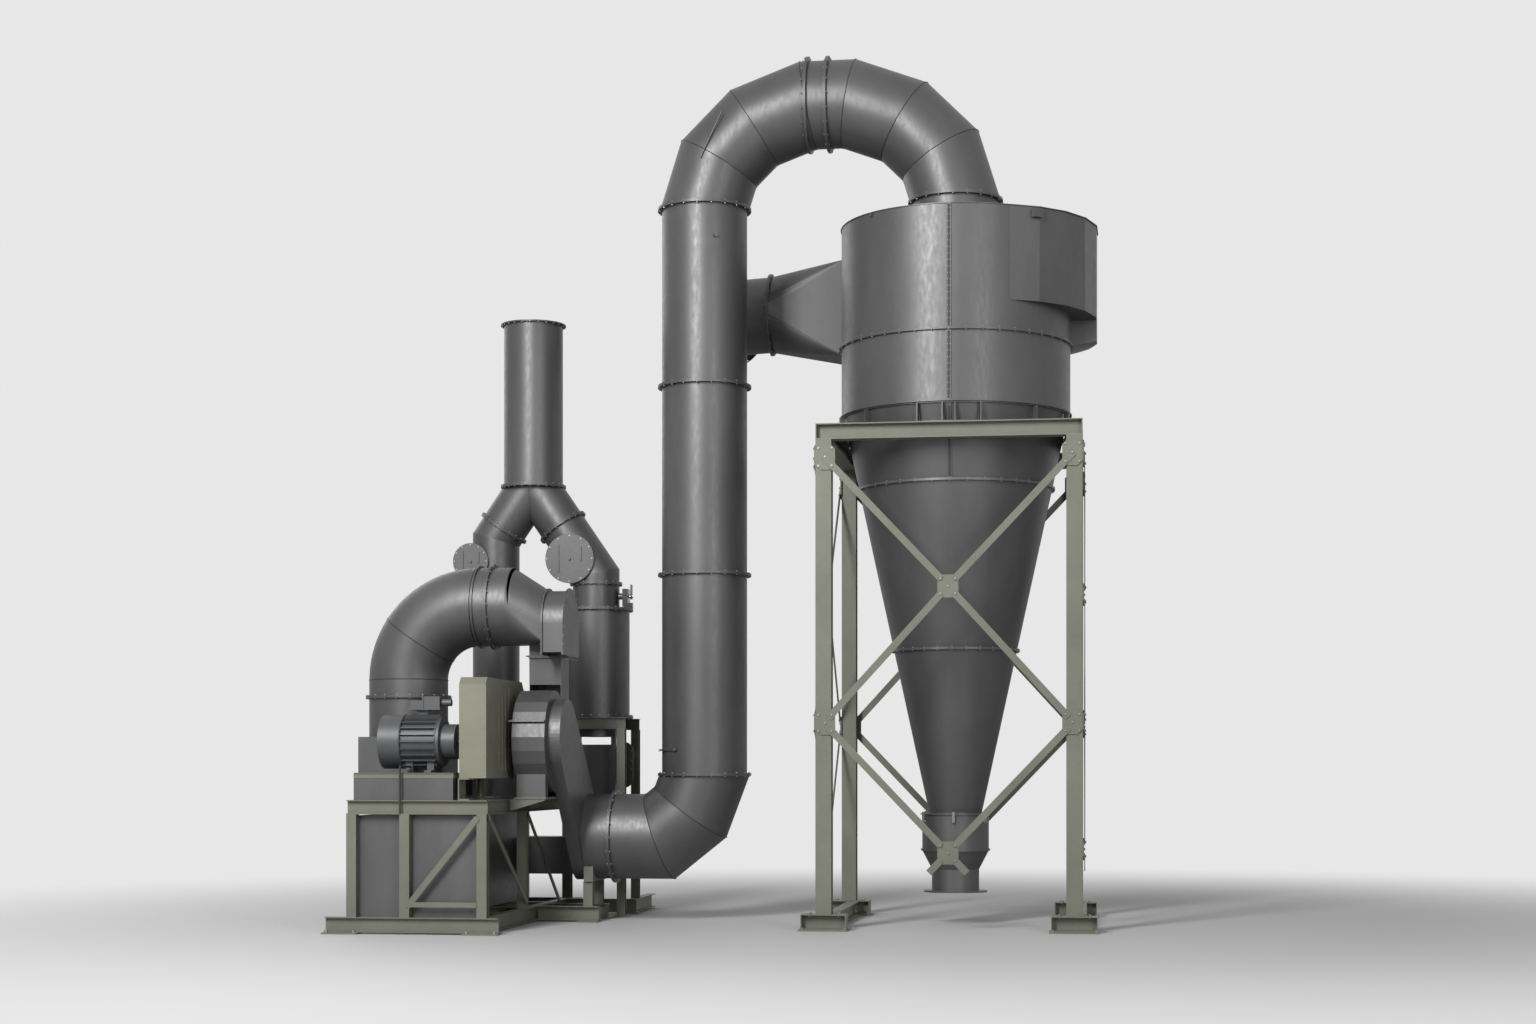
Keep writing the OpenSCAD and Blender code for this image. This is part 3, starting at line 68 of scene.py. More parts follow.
def painted(name, dark, pale, metallic, rough_low, rough_high, grain=30.0, bump=0.03, stretch=(1, 1, 1)):
    """A paint or metal whose tone drifts slowly and whose gloss and relief follow a fine grain."""
    material = bpy.data.materials.new(name)
    material.use_nodes = True
    tree = material.node_tree
    shader = tree.nodes["Principled BSDF"]
    shader.inputs["Metallic"].default_value = metallic
    place = add_node(tree, "ShaderNodeTexCoord")
    mapping = add_node(tree, "ShaderNodeMapping", Scale=stretch)
    drift = add_node(tree, "ShaderNodeTexNoise", Scale=1.3, Detail=6, Roughness=0.62)
    fine = add_node(tree, "ShaderNodeTexNoise", Scale=grain, Detail=3)
    tones = add_node(tree, "ShaderNodeValToRGB")
    ramp = tones.color_ramp.elements
    ramp[0].position, ramp[0].color = 0.3, (*dark, 1)
    ramp[1].position, ramp[1].color = 0.7, (*pale, 1)
    gloss = add_node(tree, "ShaderNodeMapRange", From_Min=0.3, From_Max=0.7, To_Min=rough_low,
                     To_Max=rough_high)
    relief = add_node(tree, "ShaderNodeBump", Strength=bump, Distance=0.002)
    tree.links.new(place.outputs["Object"], mapping.inputs["Vector"])
    tree.links.new(mapping.outputs["Vector"], drift.inputs["Vector"])
    tree.links.new(mapping.outputs["Vector"], fine.inputs["Vector"])
    tree.links.new(drift.outputs["Fac"], tones.inputs["Fac"])
    tree.links.new(fine.outputs["Fac"], gloss.inputs["Value"])
    tree.links.new(fine.outputs["Fac"], relief.inputs["Height"])
    tree.links.new(tones.outputs["Color"], shader.inputs["Base Color"])
    tree.links.new(gloss.outputs["Result"], shader.inputs["Roughness"])
    tree.links.new(relief.outputs["Normal"], shader.inputs["Normal"])
    return material


def dress(material, *names):
    for name in names:
        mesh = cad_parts[name].data
        mesh.materials.clear()
        mesh.materials.append(material)


duct_paint = painted("duct_paint", (0.082, 0.082, 0.084), (0.116, 0.116, 0.118), 0.55, 0.4, 0.5, bump=0.008,
                     stretch=(1, 1, 0.35))
dress(duct_paint, "barrel_upper", "barrel_lower", "scroll", "roof", "vortex_finder", "cone_upper",
      "cone_middle", "cone_lower", "hopper", "support_ring", "inlet_transition", "inlet_elbow")


# Flange bolts of the cyclone. Zinc-plated hexagon heads stand on both faces of each bolted ring: the
# barrel joint and the two cone joints. They sit inside the flange's width.
bolt_zinc = painted("bolt_zinc", (0.2, 0.2, 0.195), (0.27, 0.27, 0.26), 0.8, 0.35, 0.5, grain=200)
x_axis, y_axis, z_axis = Vector((1, 0, 0)), Vector((0, 1, 0)), Vector((0, 0, 1))
to_front = Vector((0, -1, 0))
flange_sheet = 0.014
head_taper = 0.9


def rider(obj, body="plant"):
    bpy.context.scene.collection.objects.link(obj)
    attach(obj, body)


def mesh_piece(name, mesh, material):
    """Makes a piece from a finished bmesh."""
    data = bpy.data.meshes.new(name)
    mesh.to_mesh(data)
    mesh.free()
    data.materials.append(material)
    rider(bpy.data.objects.new(name, data))


def hex_heads(name, spots, radius, height):
    """One mesh of hexagon heads; spots holds each head's seat point and outward direction."""
    mesh = bmesh.new()
    for seat, outward in spots:
        outward = Vector(outward).normalized()
        turn = outward.to_track_quat("Z", "X").to_matrix().to_4x4()
        place = Matrix.Translation(Vector(seat) + outward * height / 2) @ turn
        bmesh.ops.create_cone(mesh, cap_ends=True, segments=6, radius1=radius, radius2=radius * head_taper,
                              depth=height, matrix=place)
    mesh_piece(name, mesh, bolt_zinc)


def ring_spots(centre, axis, radius, count, below=flange_sheet, above=flange_sheet):
    """Seats on a flange whose faces lie below and above its centre along the axis; None skips a face."""
    axis = axis.normalized()
    across = axis.orthogonal().normalized()
    along = axis.cross(across)
    spots = []
    for i in range(count):
        angle = 2 * math.pi * (i + 0.5) / count
        out = Vector(centre) + radius * (math.cos(angle) * across + math.sin(angle) * along)
        if above is not None:
            spots.append((out + axis * above, axis))
        if below is not None:
            spots.append((out - axis * below, -axis))
    return spots


def half_width(node):
    low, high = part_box(node)
    return (high.x - low.x) / 2


ring_sheet, bolt_inset = 0.012, 0.014
barrel_low, barrel_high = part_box("barrel_lower")
cone_up_low, cone_up_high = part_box("cone_upper")
cone_mid_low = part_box("cone_middle")[0]
joint_z, cone_ring_z = barrel_high.z, cone_up_low.z
cyclone_bolts = []
for z, widest, count in ((joint_z, "barrel_lower", 44), (cone_ring_z, "cone_middle", 36),
                         (cone_mid_low.z, "cone_lower", 28)):
    cyclone_bolts += ring_spots((0, 0, z), z_axis, half_width(widest) - bolt_inset, count,
                                ring_sheet, ring_sheet)
hex_heads("cyclone_ring_bolts", cyclone_bolts, radius=0.009, height=0.009)


# Bolted front seam. A cover strip runs down the front of the barrel and of the upper cone course. Two rows
# of small bolts hold it on the barrel; a near-black strip down its middle is painted shade in the joint's
# gap.
barrel_r, strip_sheet = 1.2, 0.012
strip_face = barrel_r + strip_sheet
barrel_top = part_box("barrel_upper")[1].z
seam_count, seam_row, seam_end = 30, 0.014, 0.05
flange_clear, shade_line_clear, roof_clear = 0.03, 0.016, 0.01
seam_bolts = []
for i in range(seam_count):
    z = barrel_low.z + seam_end + (barrel_top - barrel_low.z - 2 * seam_end) * i / (seam_count - 1)
    if abs(z - joint_z) > flange_clear:
        seam_bolts += [((side * seam_row, -strip_face, z), to_front) for side in (-1, 1)]
hex_heads("seam_bolts", seam_bolts, radius=0.0055, height=0.006)
# painted shade: a near-black material for the seam's dark line, standing in for the shadow in its gap
painted_seam_shade = painted("painted_seam_shade", (0.022, 0.022, 0.022), (0.032, 0.032, 0.032), 0.0, 0.6, 0.7, grain=120)
shade_line_width, shade_line_depth = 0.022, 0.008
cone_top_r, cone_foot_r, cone_foot_z = 1.176, 0.275, 1.16


def cone_face(z):
    """Where the front of the cone's cover strip is at a height."""
    cone_r = cone_foot_r + (cone_top_r - cone_foot_r) * (z - cone_foot_z) / (barrel_low.z - cone_foot_z)
    return -cone_r - strip_sheet


def painted_shade_line(name, start, end):
    """A near-black line of painted shade down the cover strip, between two points on its face."""
    start, end = Vector(start), Vector(end)
    along = (end - start).normalized()
    turn = Matrix((x_axis, along.cross(x_axis), along)).transposed().to_4x4()
    size = Matrix.Diagonal((shade_line_width, shade_line_depth, (end - start).length, 1))
    mesh = bmesh.new()
    bmesh.ops.create_cube(mesh, size=1, matrix=Matrix.Translation((start + end) / 2) @ turn @ size)
    mesh_piece(name, mesh, painted_seam_shade)


# painted shade lines down the seam, on both barrel courses and the upper cone course
painted_shade_line("seam_joint_lower", (0, -strip_face, barrel_low.z + flange_clear),
             (0, -strip_face, joint_z - shade_line_clear))
cone_high, cone_low = cone_up_high.z - seam_end, cone_ring_z + flange_clear
painted_shade_line("seam_joint_cone", (0, cone_face(cone_high), cone_high), (0, cone_face(cone_low), cone_low))
painted_shade_line("seam_joint_upper", (0, -strip_face, joint_z + shade_line_clear),
             (0, -strip_face, barrel_top - roof_clear))


# Swan-neck duct. Rolled sheet courses with welded mitre joints in the two bends and the lower elbow, and
# bolted flanges between the courses. The weld beads follow each mitre's ellipse.
dress(duct_paint, "roof_bend", "riser_bend", "riser_lower", "riser_middle", "riser_upper", "lower_elbow")
bead_paint = painted("bead_paint", (0.03, 0.03, 0.031), (0.045, 0.045, 0.046), 0.4, 0.5, 0.6)
duct_r, duct_bolt_r = 0.455, 0.4811
riser_low, riser_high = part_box("riser_lower")
riser_x = (riser_low.x + riser_high.x) / 2
riser_bot, riser_top = riser_low.z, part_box("riser_upper")[1].z
neck_rise = 1.08
neck_z = riser_top + neck_rise
riser_bend_line = [(riser_x + x, riser_top + z)
                   for x, z in ((0, 0), (0.155, 0.49), (0.535, 0.865), (1.12, neck_rise))]
riser_bend_line.append((riser_x / 2, neck_z))
roof_bend_line = [(riser_x - x, z) for x, z in riser_bend_line]
elbow_z, elbow_end = 0.905, -3.64
lower_line = [(riser_x, riser_bot), (riser_x - 0.15, riser_bot - 0.4), (riser_x - 0.48, elbow_z),
              (elbow_end, elbow_z)]


def unit_circle(steps):
    return [(math.cos(2 * math.pi * i / steps), math.sin(2 * math.pi * i / steps)) for i in range(steps)]


def bead_piece(name, loops, thickness, resolution, material):
    """Round beads that follow closed loops of points."""
    curve = bpy.data.curves.new(name, "CURVE")
    curve.dimensions = "3D"
    curve.bevel_depth = thickness
    curve.bevel_resolution = resolution
    for loop in loops:
        spline = curve.splines.new("POLY")
        spline.use_cyclic_u = True
        spline.points.add(len(loop) - 1)
        for knot, point in zip(spline.points, loop):
            knot.co = (*point, 1)
    curve.materials.append(material)
    rider(bpy.data.objects.new(name, curve))


def mitre_beads(name, line, side, radius):
    """A weld bead on every mitre joint of a round duct that follows line, whose bend lies across side."""
    loops = []
    for before, joint, after in zip(line, line[1:], line[2:]):
        run = (joint - before).normalized()
        cut = (run + (after - joint).normalized()).normalized()
        out = run.cross(side).normalized()
        ring = [radius * (cosine * out + sine * side) for cosine, sine in unit_circle(72)]
        loops.append([joint + (point - run * point.dot(cut) / run.dot(cut)) for point in ring])
    bead_piece(name, loops, thickness=0.005, resolution=1, material=bead_paint)


for name, line in (("riser_bend_welds", riser_bend_line), ("roof_bend_welds", roof_bend_line),
                   ("lower_elbow_welds", lower_line)):
    mitre_beads(name, [Vector((x, 0, z)) for x, z in line], y_axis, duct_r)
pair_gap = 0.225
swan_flanges = [((riser_x, 0, riser_bot), z_axis), ((riser_x, 0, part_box("riser_middle")[0].z), z_axis),
                ((riser_x, 0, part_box("riser_upper")[0].z), z_axis), ((riser_x, 0, riser_top), z_axis),
                ((0, 0, riser_top), z_axis), ((riser_x / 2, 0, neck_z), x_axis),
                ((riser_x / 2 - pair_gap, 0, neck_z), x_axis), ((elbow_end, 0, elbow_z), x_axis)]
swan_bolts = []
for centre, axis in swan_flanges:
    swan_bolts += ring_spots(centre, axis, duct_bolt_r, count=20)
hex_heads("swan_neck_bolts", swan_bolts, radius=0.011, height=0.01)


# Small fittings on the swan neck: a sampling boss and a strap with two bolts on the riser, and a raised
# seam rib on the front of the riser bend. Boss, strap and rib are steel in the duct paint.
def round_bar(name, start, end, radius):
    start, end = Vector(start), Vector(end)
    run = end - start
    place = Matrix.Translation((start + end) / 2) @ run.to_track_quat("Z", "X").to_matrix().to_4x4()
    mesh = bmesh.new()
    bmesh.ops.create_cone(mesh, cap_ends=True, segments=24, radius1=radius, radius2=radius,
                          depth=run.length, matrix=place)
    mesh_piece(name, mesh, duct_paint)


def on_riser(degrees, z, radius):
    angle = math.radians(degrees)
    return Vector((riser_x + radius * math.cos(angle), radius * math.sin(angle), z))


boss_turn, boss_z, boss_sunk, boss_proud = -66, 7.24, 0.01, 0.035
round_bar("riser_boss", on_riser(boss_turn, boss_z, duct_r - boss_sunk),
          on_riser(boss_turn, boss_z, duct_r + boss_proud), radius=0.022)
strap_z, strap_half = 1.83, 0.009
strap_inner, strap_outer = duct_r - 0.002, duct_r + 0.022
strap_corners = ((strap_inner, strap_z - strap_half), (strap_inner, strap_z + strap_half),
                 (strap_outer, strap_z + strap_half), (strap_outer, strap_z - strap_half))
strap = bmesh.new()
sections = [[strap.verts.new(on_riser(degrees, z, radius)) for radius, z in strap_corners]
            for degrees in range(186, 242, 5)]
for one, other in zip(sections, sections[1:]):
    for i in range(4):
        strap.faces.new((one[i - 1], one[i], other[i], other[i - 1]))
strap.faces.new(sections[0])
strap.faces.new(sections[-1])
bmesh.ops.recalc_face_normals(strap, faces=strap.faces)
mesh_piece("riser_strap", strap, duct_paint)
strap_ends = [on_riser(degrees, strap_z, strap_outer) for degrees in (189, 238)]
hex_heads("strap_bolts", [(seat, (seat.x - riser_x, seat.y, 0)) for seat in strap_ends],
          radius=0.016, height=0.014)
rib_y = -duct_r - 0.002
round_bar("bend_seam_rib", (riser_x + 0.03, rib_y, riser_top + 0.45),
          (riser_x + 0.26, rib_y, riser_top + 0.93), radius=0.009)


# Inlet duct behind the riser. A round elbow of welded gores brings the dusty gas in from the back of the
# plant, and a bolted flange joins it to the transition piece.
inlet_r, inlet_bolt_r, inlet_bend, inlet_tail = 0.42, 0.442, 0.64, 0.16
round_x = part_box("inlet_transition")[0].x
inlet_low, inlet_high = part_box("inlet_elbow")
inlet_z = (inlet_low.z + inlet_high.z) / 2
inlet_y = inlet_high.y - inlet_bend - inlet_tail
inlet_line = []
for degrees in (0, 30, 60, 90):
    angle = math.radians(degrees)
    inlet_line.append(Vector((round_x - inlet_bend * math.sin(angle),
                              inlet_y + inlet_bend * (1 - math.cos(angle)), inlet_z)))
inlet_line.append(Vector((round_x - inlet_bend, inlet_high.y, inlet_z)))
mitre_beads("inlet_welds", inlet_line, z_axis, inlet_r)
hex_heads("inlet_bolts", ring_spots((round_x, inlet_y, inlet_z), x_axis, inlet_bolt_r, count=18),
          radius=0.01, height=0.009)


# Cyclone frame. Rolled H sections, flat bracing and octagonal gusset plates in olive grey paint, with
# hexagon bolts at the gussets' corners and middle, and anchor nuts on the foot plates.
frame_paint = painted("frame_paint", (0.118, 0.12, 0.092), (0.158, 0.16, 0.126), 0.1, 0.45, 0.6, grain=60)
dress(frame_paint, "cyclone_legs", "cyclone_beams", "cyclone_feet", "brace_bars", "gussets")
dress(bolt_zinc, "foot_bolts", "hopper_clamps")
leg_x, leg_half, gusset_sheet, brace_sheet = 1.25, 0.08, 0.014, 0.01
leg_face = leg_x + leg_half + gusset_sheet
top_z, mid_z = 4.76, 2.09
edge_across, edge_up = 0.032, 0.04
gussets = [(0, z, 0.105, 0.115) for z in (3.45, 0.79)]
gussets += [(side * (leg_x - 0.02), z, 0.1, half_h) for side in (-1, 1)
            for z, half_h in ((top_z, 0.13), (mid_z, 0.12))]
gusset_bolts = []
for across, z, half_w, half_h in gussets:
    corners = [(dx * (half_w - edge_across), dz * (half_h - edge_up)) for dx in (-1, 1) for dz in (-1, 1)]
    for dx, dz in corners + [(0, 0)]:
        inner = dx * across < 0 and (z == mid_z or dz < 0)
        on_bar = (across == 0 and dx != 0) or inner or (z == top_z and dx == 0)
        seat = Vector((across + dx, -leg_face - (brace_sheet if on_bar else 0), z + dz))
        for quarter in range(4):
            swing = Matrix.Rotation(quarter * math.pi / 2, 3, "Z")
            gusset_bolts.append((swing @ seat, swing @ to_front))
hex_heads("gusset_bolts", gusset_bolts, radius=0.014, height=0.011)
plate_top, nut_x, nut_y = 0.016, 0.215, 0.14
anchor_nuts = [((side_x * leg_x + u, side_y * leg_x + v, plate_top), z_axis)
               for side_x in (-1, 1) for side_y in (-1, 1) for u in (-nut_x, nut_x) for v in (-nut_y, nut_y)]
hex_heads("anchor_nuts", anchor_nuts, radius=0.018, height=0.022)


# Fan. The casing, inlet box and turning box are folded and welded sheet in the duct paint, bolted along
# the casing's split and round the turning box. The inlet ring and impeller are a plainer grey.
dress(duct_paint, "fan_casing", "inlet_box", "turning_box")
cover_paint = painted("cover_paint", (0.07, 0.071, 0.07), (0.095, 0.096, 0.094), 0.35, 0.4, 0.52, grain=60)
dress(cover_paint, "inlet_ring", "impeller")
dress(frame_paint, "fan_stand", "skid_frame", "skid_braces")
turned_steel = painted("turned_steel", (0.42, 0.42, 0.42), (0.5, 0.5, 0.5), 1.0, 0.22, 0.34, grain=300)
cast_paint = painted("cast_paint", (0.07, 0.07, 0.072), (0.1, 0.1, 0.1), 0.3, 0.4, 0.55, grain=120, bump=0.15)
belt_rubber = painted("belt_rubber", (0.016, 0.016, 0.016), (0.025, 0.025, 0.025), 0.0, 0.6, 0.75, grain=200)
dress(turned_steel, "fan_shaft")
dress(cast_paint, "fan_pulley", "motor_pulley", "fan_bearings")
dress(belt_rubber, "belts", "conduit")


def vertices_near(node, height, slack=0.004):
    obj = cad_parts[node]
    places = [obj.matrix_world @ vertex.co for vertex in obj.data.vertices]
    return [place for place in places if abs(place.z - height) < slack]


def bolts_between(start, end, count, outward):
    start, end = Vector(start), Vector(end)
    return [(start.lerp(end, (i + 0.5) / count), outward) for i in range(count)]


fan_left, fan_right = -4.4, -4.06
split_z, split_half = 2.115, 0.009
lip_middle, corner_gap, right_gap = 0.018, 0.06, 0.02
split_lip = vertices_near("fan_casing", split_z + split_half)
split_front = min(place.y for place in split_lip) + lip_middle
split_back = max(place.y for place in split_lip) - lip_middle
fan_bolts = []
for face in (-1, 1):
    z = split_z + face * split_half
    for y in (split_front, split_back):
        fan_bolts += bolts_between((fan_left, y, z), (fan_right - right_gap, y, z), 5, (0, 0, face))
    x = fan_left - lip_middle
    fan_bolts += bolts_between((x, split_front + corner_gap, z), (x, split_back - corner_gap, z), 14,
                               (0, 0, face))
turn_left, turn_right, turn_y, turn_half = -4.168, -3.95, -0.85, 0.35
turn_low, turn_arc, turn_foot_half, turn_out, arc_bolts = 2.78, 3.13, 0.3, 0.014, 9
turn_lip = turn_half + turn_out
for x, outward in ((turn_right, (1, 0, 0)), (turn_left - flange_sheet, (-1, 0, 0))):
    for side in (-1, 1):
        y = turn_y + side * turn_lip
        fan_bolts += bolts_between((x, y, turn_low), (x, y, turn_arc), 4, outward)
    for i in range(arc_bolts):
        angle = math.pi * (i + 0.5) / arc_bolts
        y, z = turn_y + turn_lip * math.cos(angle), turn_arc + turn_lip * math.sin(angle)
        fan_bolts.append(((x, y, z), outward))
fan_bolts += bolts_between((turn_right, turn_y - turn_foot_half, turn_low - turn_out),
                           (turn_right, turn_y + turn_foot_half, turn_low - turn_out), 6, (1, 0, 0))
hex_heads("fan_bolts", fan_bolts, radius=0.009, height=0.008)


# Skid trim. The base's front and back beams stand out beside the skid as short H-section ends in the
# frame's olive, and anchor nuts hold the base's foot plates to the floor.
skid_left, skid_right, skid_front, skid_back = -5.86, -4.44, -2.4, 1.4
base_low, base_high, beam_half, beam_sheet = 0.016, 0.166, 0.05, 0.01
left_reach, right_reach = 0.225, 0.11
plates = [(x, y) for x in (skid_left - 0.24, skid_right - 0.24)
          for y in (skid_front - 0.06, skid_back - 0.14)]
skid_anchors = [((x + u, y + v, base_low), z_axis)
                for x, y in plates for u in (0.04, 0.32) for v in (0.03, 0.17)]
hex_heads("skid_anchor_nuts", skid_anchors, radius=0.018, height=0.022)


def add_box(mesh, low, high):
    low, high = Vector(low), Vector(high)
    place = Matrix.Translation((low + high) / 2) @ Matrix.Diagonal((*(high - low), 1))
    bmesh.ops.create_cube(mesh, size=1, matrix=place)


def beam_stub(name, x0, x1, y):
    """A short H-section end: two flanges and the web between them."""
    mesh = bmesh.new()
    web_low, web_high = base_low + beam_sheet, base_high - beam_sheet
    add_box(mesh, (x0, y - beam_half, base_low), (x1, y + beam_half, web_low))
    add_box(mesh, (x0, y - beam_half, web_high), (x1, y + beam_half, base_high))
    add_box(mesh, (x0, y - beam_sheet / 2, web_low), (x1, y + beam_sheet / 2, web_high))
    mesh_piece(name, mesh, frame_paint)


for end, y in (("front", skid_front + beam_half), ("back", skid_back - beam_half)):
    beam_stub(f"base_end_left_{end}", skid_left - left_reach, skid_left, y)
    beam_stub(f"base_end_right_{end}", skid_right, skid_right + right_reach, y)


# Motor. A finned cast body with a sheet cowl over its cooling fan, in dark grey paint, with a rolled ring
# at each end. Its platform is grey sheet with olive strips along the front and right edges.
motor_paint = painted("motor_paint", (0.075, 0.078, 0.082), (0.1, 0.104, 0.108), 0.3, 0.38, 0.5, grain=90)
dress(motor_paint, "motor_body", "terminal_box", "motor_rotor", "cooling_fan")
dress(duct_paint, "motor_platform")
motor_y, motor_z = -1.9, 1.9
for part, x, radius in (("cowl", -5.4, 0.27), ("shield", -5.036, 0.252)):
    rim = [(x, motor_y + radius * cosine, motor_z + radius * sine) for cosine, sine in unit_circle(64)]
    bead_piece(f"motor_rim_{part}", [rim], thickness=0.006, resolution=2, material=cover_paint)


def trim_box(name, low, high, material, bevel):
    mesh = bmesh.new()
    add_box(mesh, low, high)
    bmesh.ops.bevel(mesh, geom=mesh.edges[:], offset=bevel, segments=2, affect="EDGES")
    mesh_piece(name, mesh, material)


deck_low, deck_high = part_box("motor_platform")
edge_drop, edge_sheet, edge_below = 0.034, 0.005, 0.02
edge_top = deck_high.z - edge_below
trim_box("platform_edge_front", (deck_low.x, deck_low.y - edge_sheet, edge_top - edge_drop),
         (deck_high.x + edge_sheet, deck_low.y, edge_top), frame_paint, bevel=0.001)
trim_box("platform_edge_side", (deck_high.x, deck_low.y, edge_top - edge_drop),
         (deck_high.x + edge_sheet, deck_high.y, edge_top), frame_paint, bevel=0.001)


# Belt guard. A folded sheet box in pale olive paint with pressed ribs on its right side, closed by small
# screws along its edges.
guard_paint = painted("guard_paint", (0.165, 0.164, 0.122), (0.205, 0.203, 0.154), 0.15, 0.38, 0.5, grain=50)
dress(guard_paint, "belt_guard")
guard_low, guard_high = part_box("belt_guard")
rib_height, front_inset, side_inset = 0.008, 0.03, 0.035
front_start, front_step, side_start, side_step = 0.08, 0.14, 0.12, 0.18
guard_face = guard_high.x - rib_height
guard_screws = [((x, guard_low.y, guard_low.z + front_start + front_step * i), to_front)
                for x in (guard_low.x + front_inset, guard_face - front_inset) for i in range(6)]
guard_screws += [((guard_face, guard_low.y + side_start + side_step * i, z), x_axis)
                 for z in (guard_low.z + side_inset, guard_high.z - side_inset) for i in range(8)]
hex_heads("guard_screws", guard_screws, radius=0.009, height=0.006)


# Return duct. A smooth pressed elbow turns the gas down through the skid's top into its closed box. Weld
# beads show where the elbow's lengths meet, and bolts hold the flanges at its end and on the pipe.
dress(duct_paint, "return_bend", "return_pipe", "plenum", "silencer_feed")
return_r, return_bolt_r = 0.41, 0.431
pipe_x, pipe_y, pipe_top, bend_z, bend_r, bend_end = -5.69, -0.85, 2.38, 3.32, 0.76, -4.76
for degrees in (0, 34, 90):
    angle = math.radians(degrees)
    centre = Vector((pipe_x + bend_r * (1 - math.cos(angle)), pipe_y,
                     bend_z - bend_r + bend_r * math.sin(angle)))
    along = Vector((math.sin(angle), 0, math.cos(angle)))
    mitre_beads(f"return_weld_{degrees}", [centre - along, centre, centre + along], y_axis, return_r)
return_bolts = ring_spots((pipe_x, pipe_y, pipe_top), z_axis, return_bolt_r, count=20)
return_bolts += ring_spots((bend_end, pipe_y, bend_z), x_axis, return_bolt_r, count=20)
hex_heads("return_bolts", return_bolts, radius=0.01, height=0.009)


# Access door on the silencer feed. A grey oblong plate with bolts round its edge closes a short flat spigot
# whose neck is welded to the feed's side.
feed_side = -3.818
door_x, door_y, door_z, door_half, door_flat, door_sheet = -3.72, 0.8, 1.675, 0.1, 0.155, 0.012
door_bolt_r = door_half - 0.018
spigot_half, spigot_depth = door_half - 0.03, 0.12
neck_front, neck_back, neck_half = door_y + 0.05, door_y + 0.12, 0.18
end_steps = 24


def oblong(name, y, half, depth, material):
    """An upright plate with round ends, centred on the door, that reaches back from y by its depth."""
    outline = []
    for i in range(end_steps):
        angle = math.pi * i / (end_steps - 1)
        outline.append((door_x + half * math.cos(angle), door_z + door_flat + half * math.sin(angle)))
    outline += [(2 * door_x - x, 2 * door_z - z) for x, z in outline]
    mesh = bmesh.new()
    face = mesh.faces.new([mesh.verts.new((x, y, z)) for x, z in outline])
    grown = bmesh.ops.extrude_face_region(mesh, geom=[face])["geom"]
    far_verts = [item for item in grown if isinstance(item, bmesh.types.BMVert)]
    bmesh.ops.translate(mesh, vec=(0, depth, 0), verts=far_verts)
    bmesh.ops.recalc_face_normals(mesh, faces=mesh.faces)
    mesh_piece(name, mesh, material)


oblong("feed_door", door_y, door_half, door_sheet, cover_paint)
oblong("feed_spigot", door_y + door_sheet, spigot_half, spigot_depth, duct_paint)
trim_box("feed_door_neck", (feed_side, neck_front, door_z - neck_half),
         (door_x, neck_back, door_z + neck_half), duct_paint, bevel=0.003)
door_bolts = [((door_x + side * door_bolt_r, door_y, door_z + dz), to_front)
              for side in (-1, 1) for dz in (-0.15, -0.05, 0.05, 0.15)]
door_bolts += [((door_x, door_y, door_z + side * (door_flat + door_bolt_r)), to_front) for side in (-1, 1)]
hex_heads("door_bolts", door_bolts, radius=0.008, height=0.007)


# Exhaust. Stack, fork and two legs in the duct paint, with round valve covers in a plainer grey; the right
# leg stands on the silencer and its butterfly damper.
dress(duct_paint, "stack", "fork", "left_leg", "right_leg", "silencer", "damper_body")
dress(cover_paint, "valve_covers", "silencer_core", "damper_lever")
dress(turned_steel, "damper_blade")
drive_paint = painted("drive_paint", (0.022, 0.022, 0.025), (0.035, 0.035, 0.038), 0.1, 0.15, 0.25, grain=40)
dress(drive_paint, "damper_drive")
exhaust_y, stack_x, fork_z, apex_z, leg_run, leg_start = 1.0, -4.8, 4.8, 4.84, 0.685, 0.34
stack_bolt_r, leg_bolt_r, vessel_bolt_r = 0.351, 0.281, 0.398
right_x, damper_top, vessel_z, vessel_top = -4.08, 3.7, 2.21, 3.41
stack_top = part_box("stack")[1].z
exhaust_bolts = ring_spots((stack_x, exhaust_y, stack_top), z_axis, stack_bolt_r, count=24, above=None)
exhaust_bolts += ring_spots((stack_x, exhaust_y, fork_z), z_axis, stack_bolt_r, count=24)
for side in (-1, 1):
    slope = Vector((side * leg_run, 0, -1)).normalized()
    joint = Vector((stack_x + side * leg_start, exhaust_y, apex_z - leg_start / leg_run))
    exhaust_bolts += ring_spots(joint, slope, leg_bolt_r, count=20)
exhaust_bolts += ring_spots((right_x, exhaust_y, damper_top), z_axis, leg_bolt_r, count=20)
for z in (vessel_top, vessel_z):
    exhaust_bolts += ring_spots((right_x, exhaust_y, z), z_axis, vessel_bolt_r, count=26)
hex_heads("exhaust_bolts", exhaust_bolts, radius=0.01, height=0.009)
cover_face, cover_inset = exhaust_y - 0.292, 0.02
cover_bolts = []
for x, z, radius in ((-5.45, 3.95, 0.202), (right_x - 0.24, 3.966, 0.274)):
    cover_bolts += ring_spots((x, cover_face, z), to_front, radius - cover_inset, count=12,
                              below=None, above=0)
hex_heads("cover_bolts", cover_bolts, radius=0.01, height=0.009)


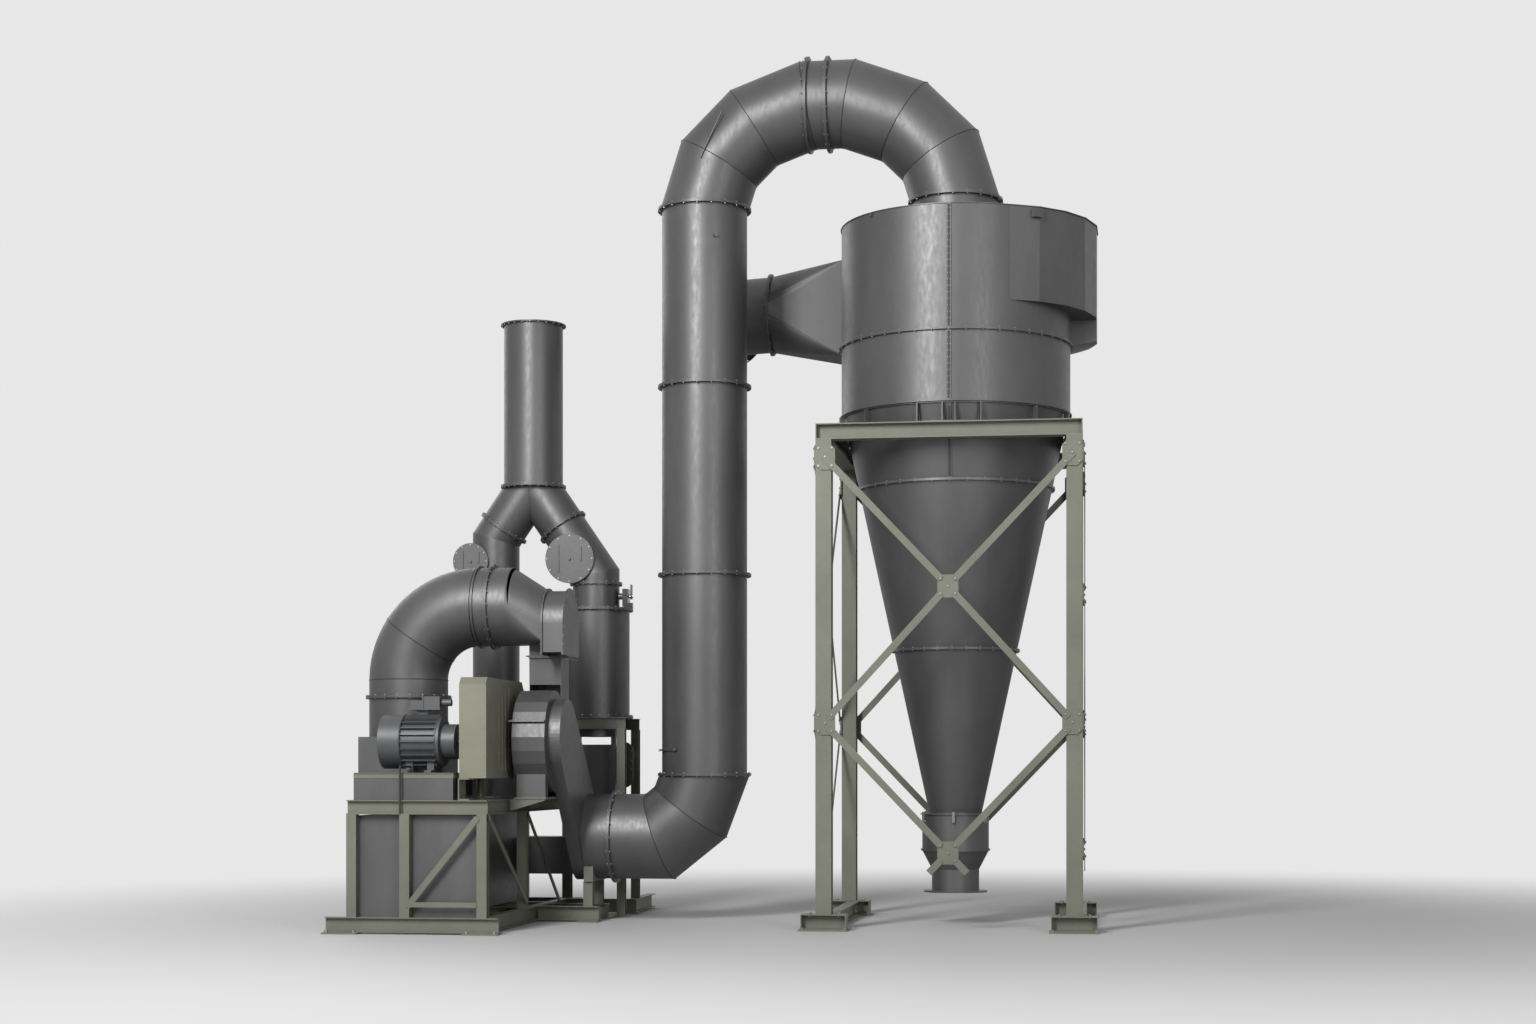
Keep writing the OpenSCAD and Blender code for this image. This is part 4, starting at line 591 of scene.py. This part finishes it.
# Floor and light. A plain pale floor that fades into the backdrop for the camera, under a high key from the
# front left, a fill from the front right and a weak rim from behind. The world looks nearly white to the
# camera and in reflections, and lights the plant only gently.
floor_mesh = bpy.data.meshes.new("floor")
reach = 90
floor_mesh.from_pydata([(-reach, -reach, 0), (reach, -reach, 0), (reach, reach, 0), (-reach, reach, 0)],
                       [], [(0, 1, 2, 3)])
floor = bpy.data.objects.new("floor", floor_mesh)
bpy.context.scene.collection.objects.link(floor)
backdrop_level, world_level = 0.8, 0.2
fade_start, fade_end = 4, 15
floor_tone = bpy.data.materials.new("floor_tone")
floor_tone.use_nodes = True
floor_tree = floor_tone.node_tree
floor_shader = floor_tree.nodes["Principled BSDF"]
floor_shader.inputs["Base Color"].default_value = (0.5, 0.5, 0.5, 1)
floor_shader.inputs["Roughness"].default_value = 0.7
far_away = add_node(floor_tree, "ShaderNodeEmission", Strength=backdrop_level)
floor_place = add_node(floor_tree, "ShaderNodeTexCoord")
distance = add_node(floor_tree, "ShaderNodeVectorMath")
distance.operation = "LENGTH"
fade = add_node(floor_tree, "ShaderNodeMapRange", From_Min=fade_start, From_Max=fade_end)
fade.interpolation_type = "SMOOTHSTEP"
to_camera = add_node(floor_tree, "ShaderNodeLightPath")
fade_seen = add_node(floor_tree, "ShaderNodeMath")
fade_seen.operation = "MULTIPLY"
blend = add_node(floor_tree, "ShaderNodeMixShader")
floor_tree.links.new(floor_place.outputs["Object"], distance.inputs[0])
floor_tree.links.new(distance.outputs["Value"], fade.inputs["Value"])
floor_tree.links.new(fade.outputs["Result"], fade_seen.inputs[0])
floor_tree.links.new(to_camera.outputs["Is Camera Ray"], fade_seen.inputs[1])
floor_tree.links.new(fade_seen.outputs["Value"], blend.inputs["Fac"])
floor_tree.links.new(floor_shader.outputs["BSDF"], blend.inputs[1])
floor_tree.links.new(far_away.outputs["Emission"], blend.inputs[2])
floor_tree.links.new(blend.outputs["Shader"], floor_tree.nodes["Material Output"].inputs["Surface"])
floor_mesh.materials.append(floor_tone)


def lamp(name, place, target, size, power):
    light = bpy.data.lights.new(name, "AREA")
    light.shape = "RECTANGLE"
    light.size, light.size_y = size
    light.energy = power
    holder = bpy.data.objects.new(name, light)
    holder.location = place
    holder.rotation_euler = (Vector(target) - Vector(place)).to_track_quat("-Z", "Y").to_euler()
    bpy.context.scene.collection.objects.link(holder)


lamp("key", (-7, -17, 12), (-2, 0, 3.5), (3, 9), 3600)
lamp("fill", (9, -17, 7), (-1, 0, 3.5), (4, 9), 850)
lamp("rim", (-12, 9, 9), (-3, 0, 4), (8, 6), 220)
world = bpy.data.worlds.new("studio")
bpy.context.scene.world = world
world.use_nodes = True
sky_tree = world.node_tree
sky = sky_tree.nodes["Background"]
sky.inputs["Color"].default_value = (1, 1, 1, 1)
seen = add_node(sky_tree, "ShaderNodeLightPath")
seen_through = add_node(sky_tree, "ShaderNodeMath")
seen_through.operation = "MAXIMUM"
level = add_node(sky_tree, "ShaderNodeMapRange", To_Min=world_level, To_Max=backdrop_level)
mirrored = add_node(sky_tree, "ShaderNodeMath")
mirrored.operation = "MAXIMUM"
sky_tree.links.new(seen.outputs["Is Camera Ray"], seen_through.inputs[0])
sky_tree.links.new(seen.outputs["Is Transmission Ray"], seen_through.inputs[1])
sky_tree.links.new(seen_through.outputs["Value"], mirrored.inputs[0])
sky_tree.links.new(seen.outputs["Is Glossy Ray"], mirrored.inputs[1])
sky_tree.links.new(mirrored.outputs["Value"], level.inputs["Value"])
sky_tree.links.new(level.outputs["Result"], sky.inputs["Strength"])
bpy.context.scene.view_settings.view_transform = "Standard"
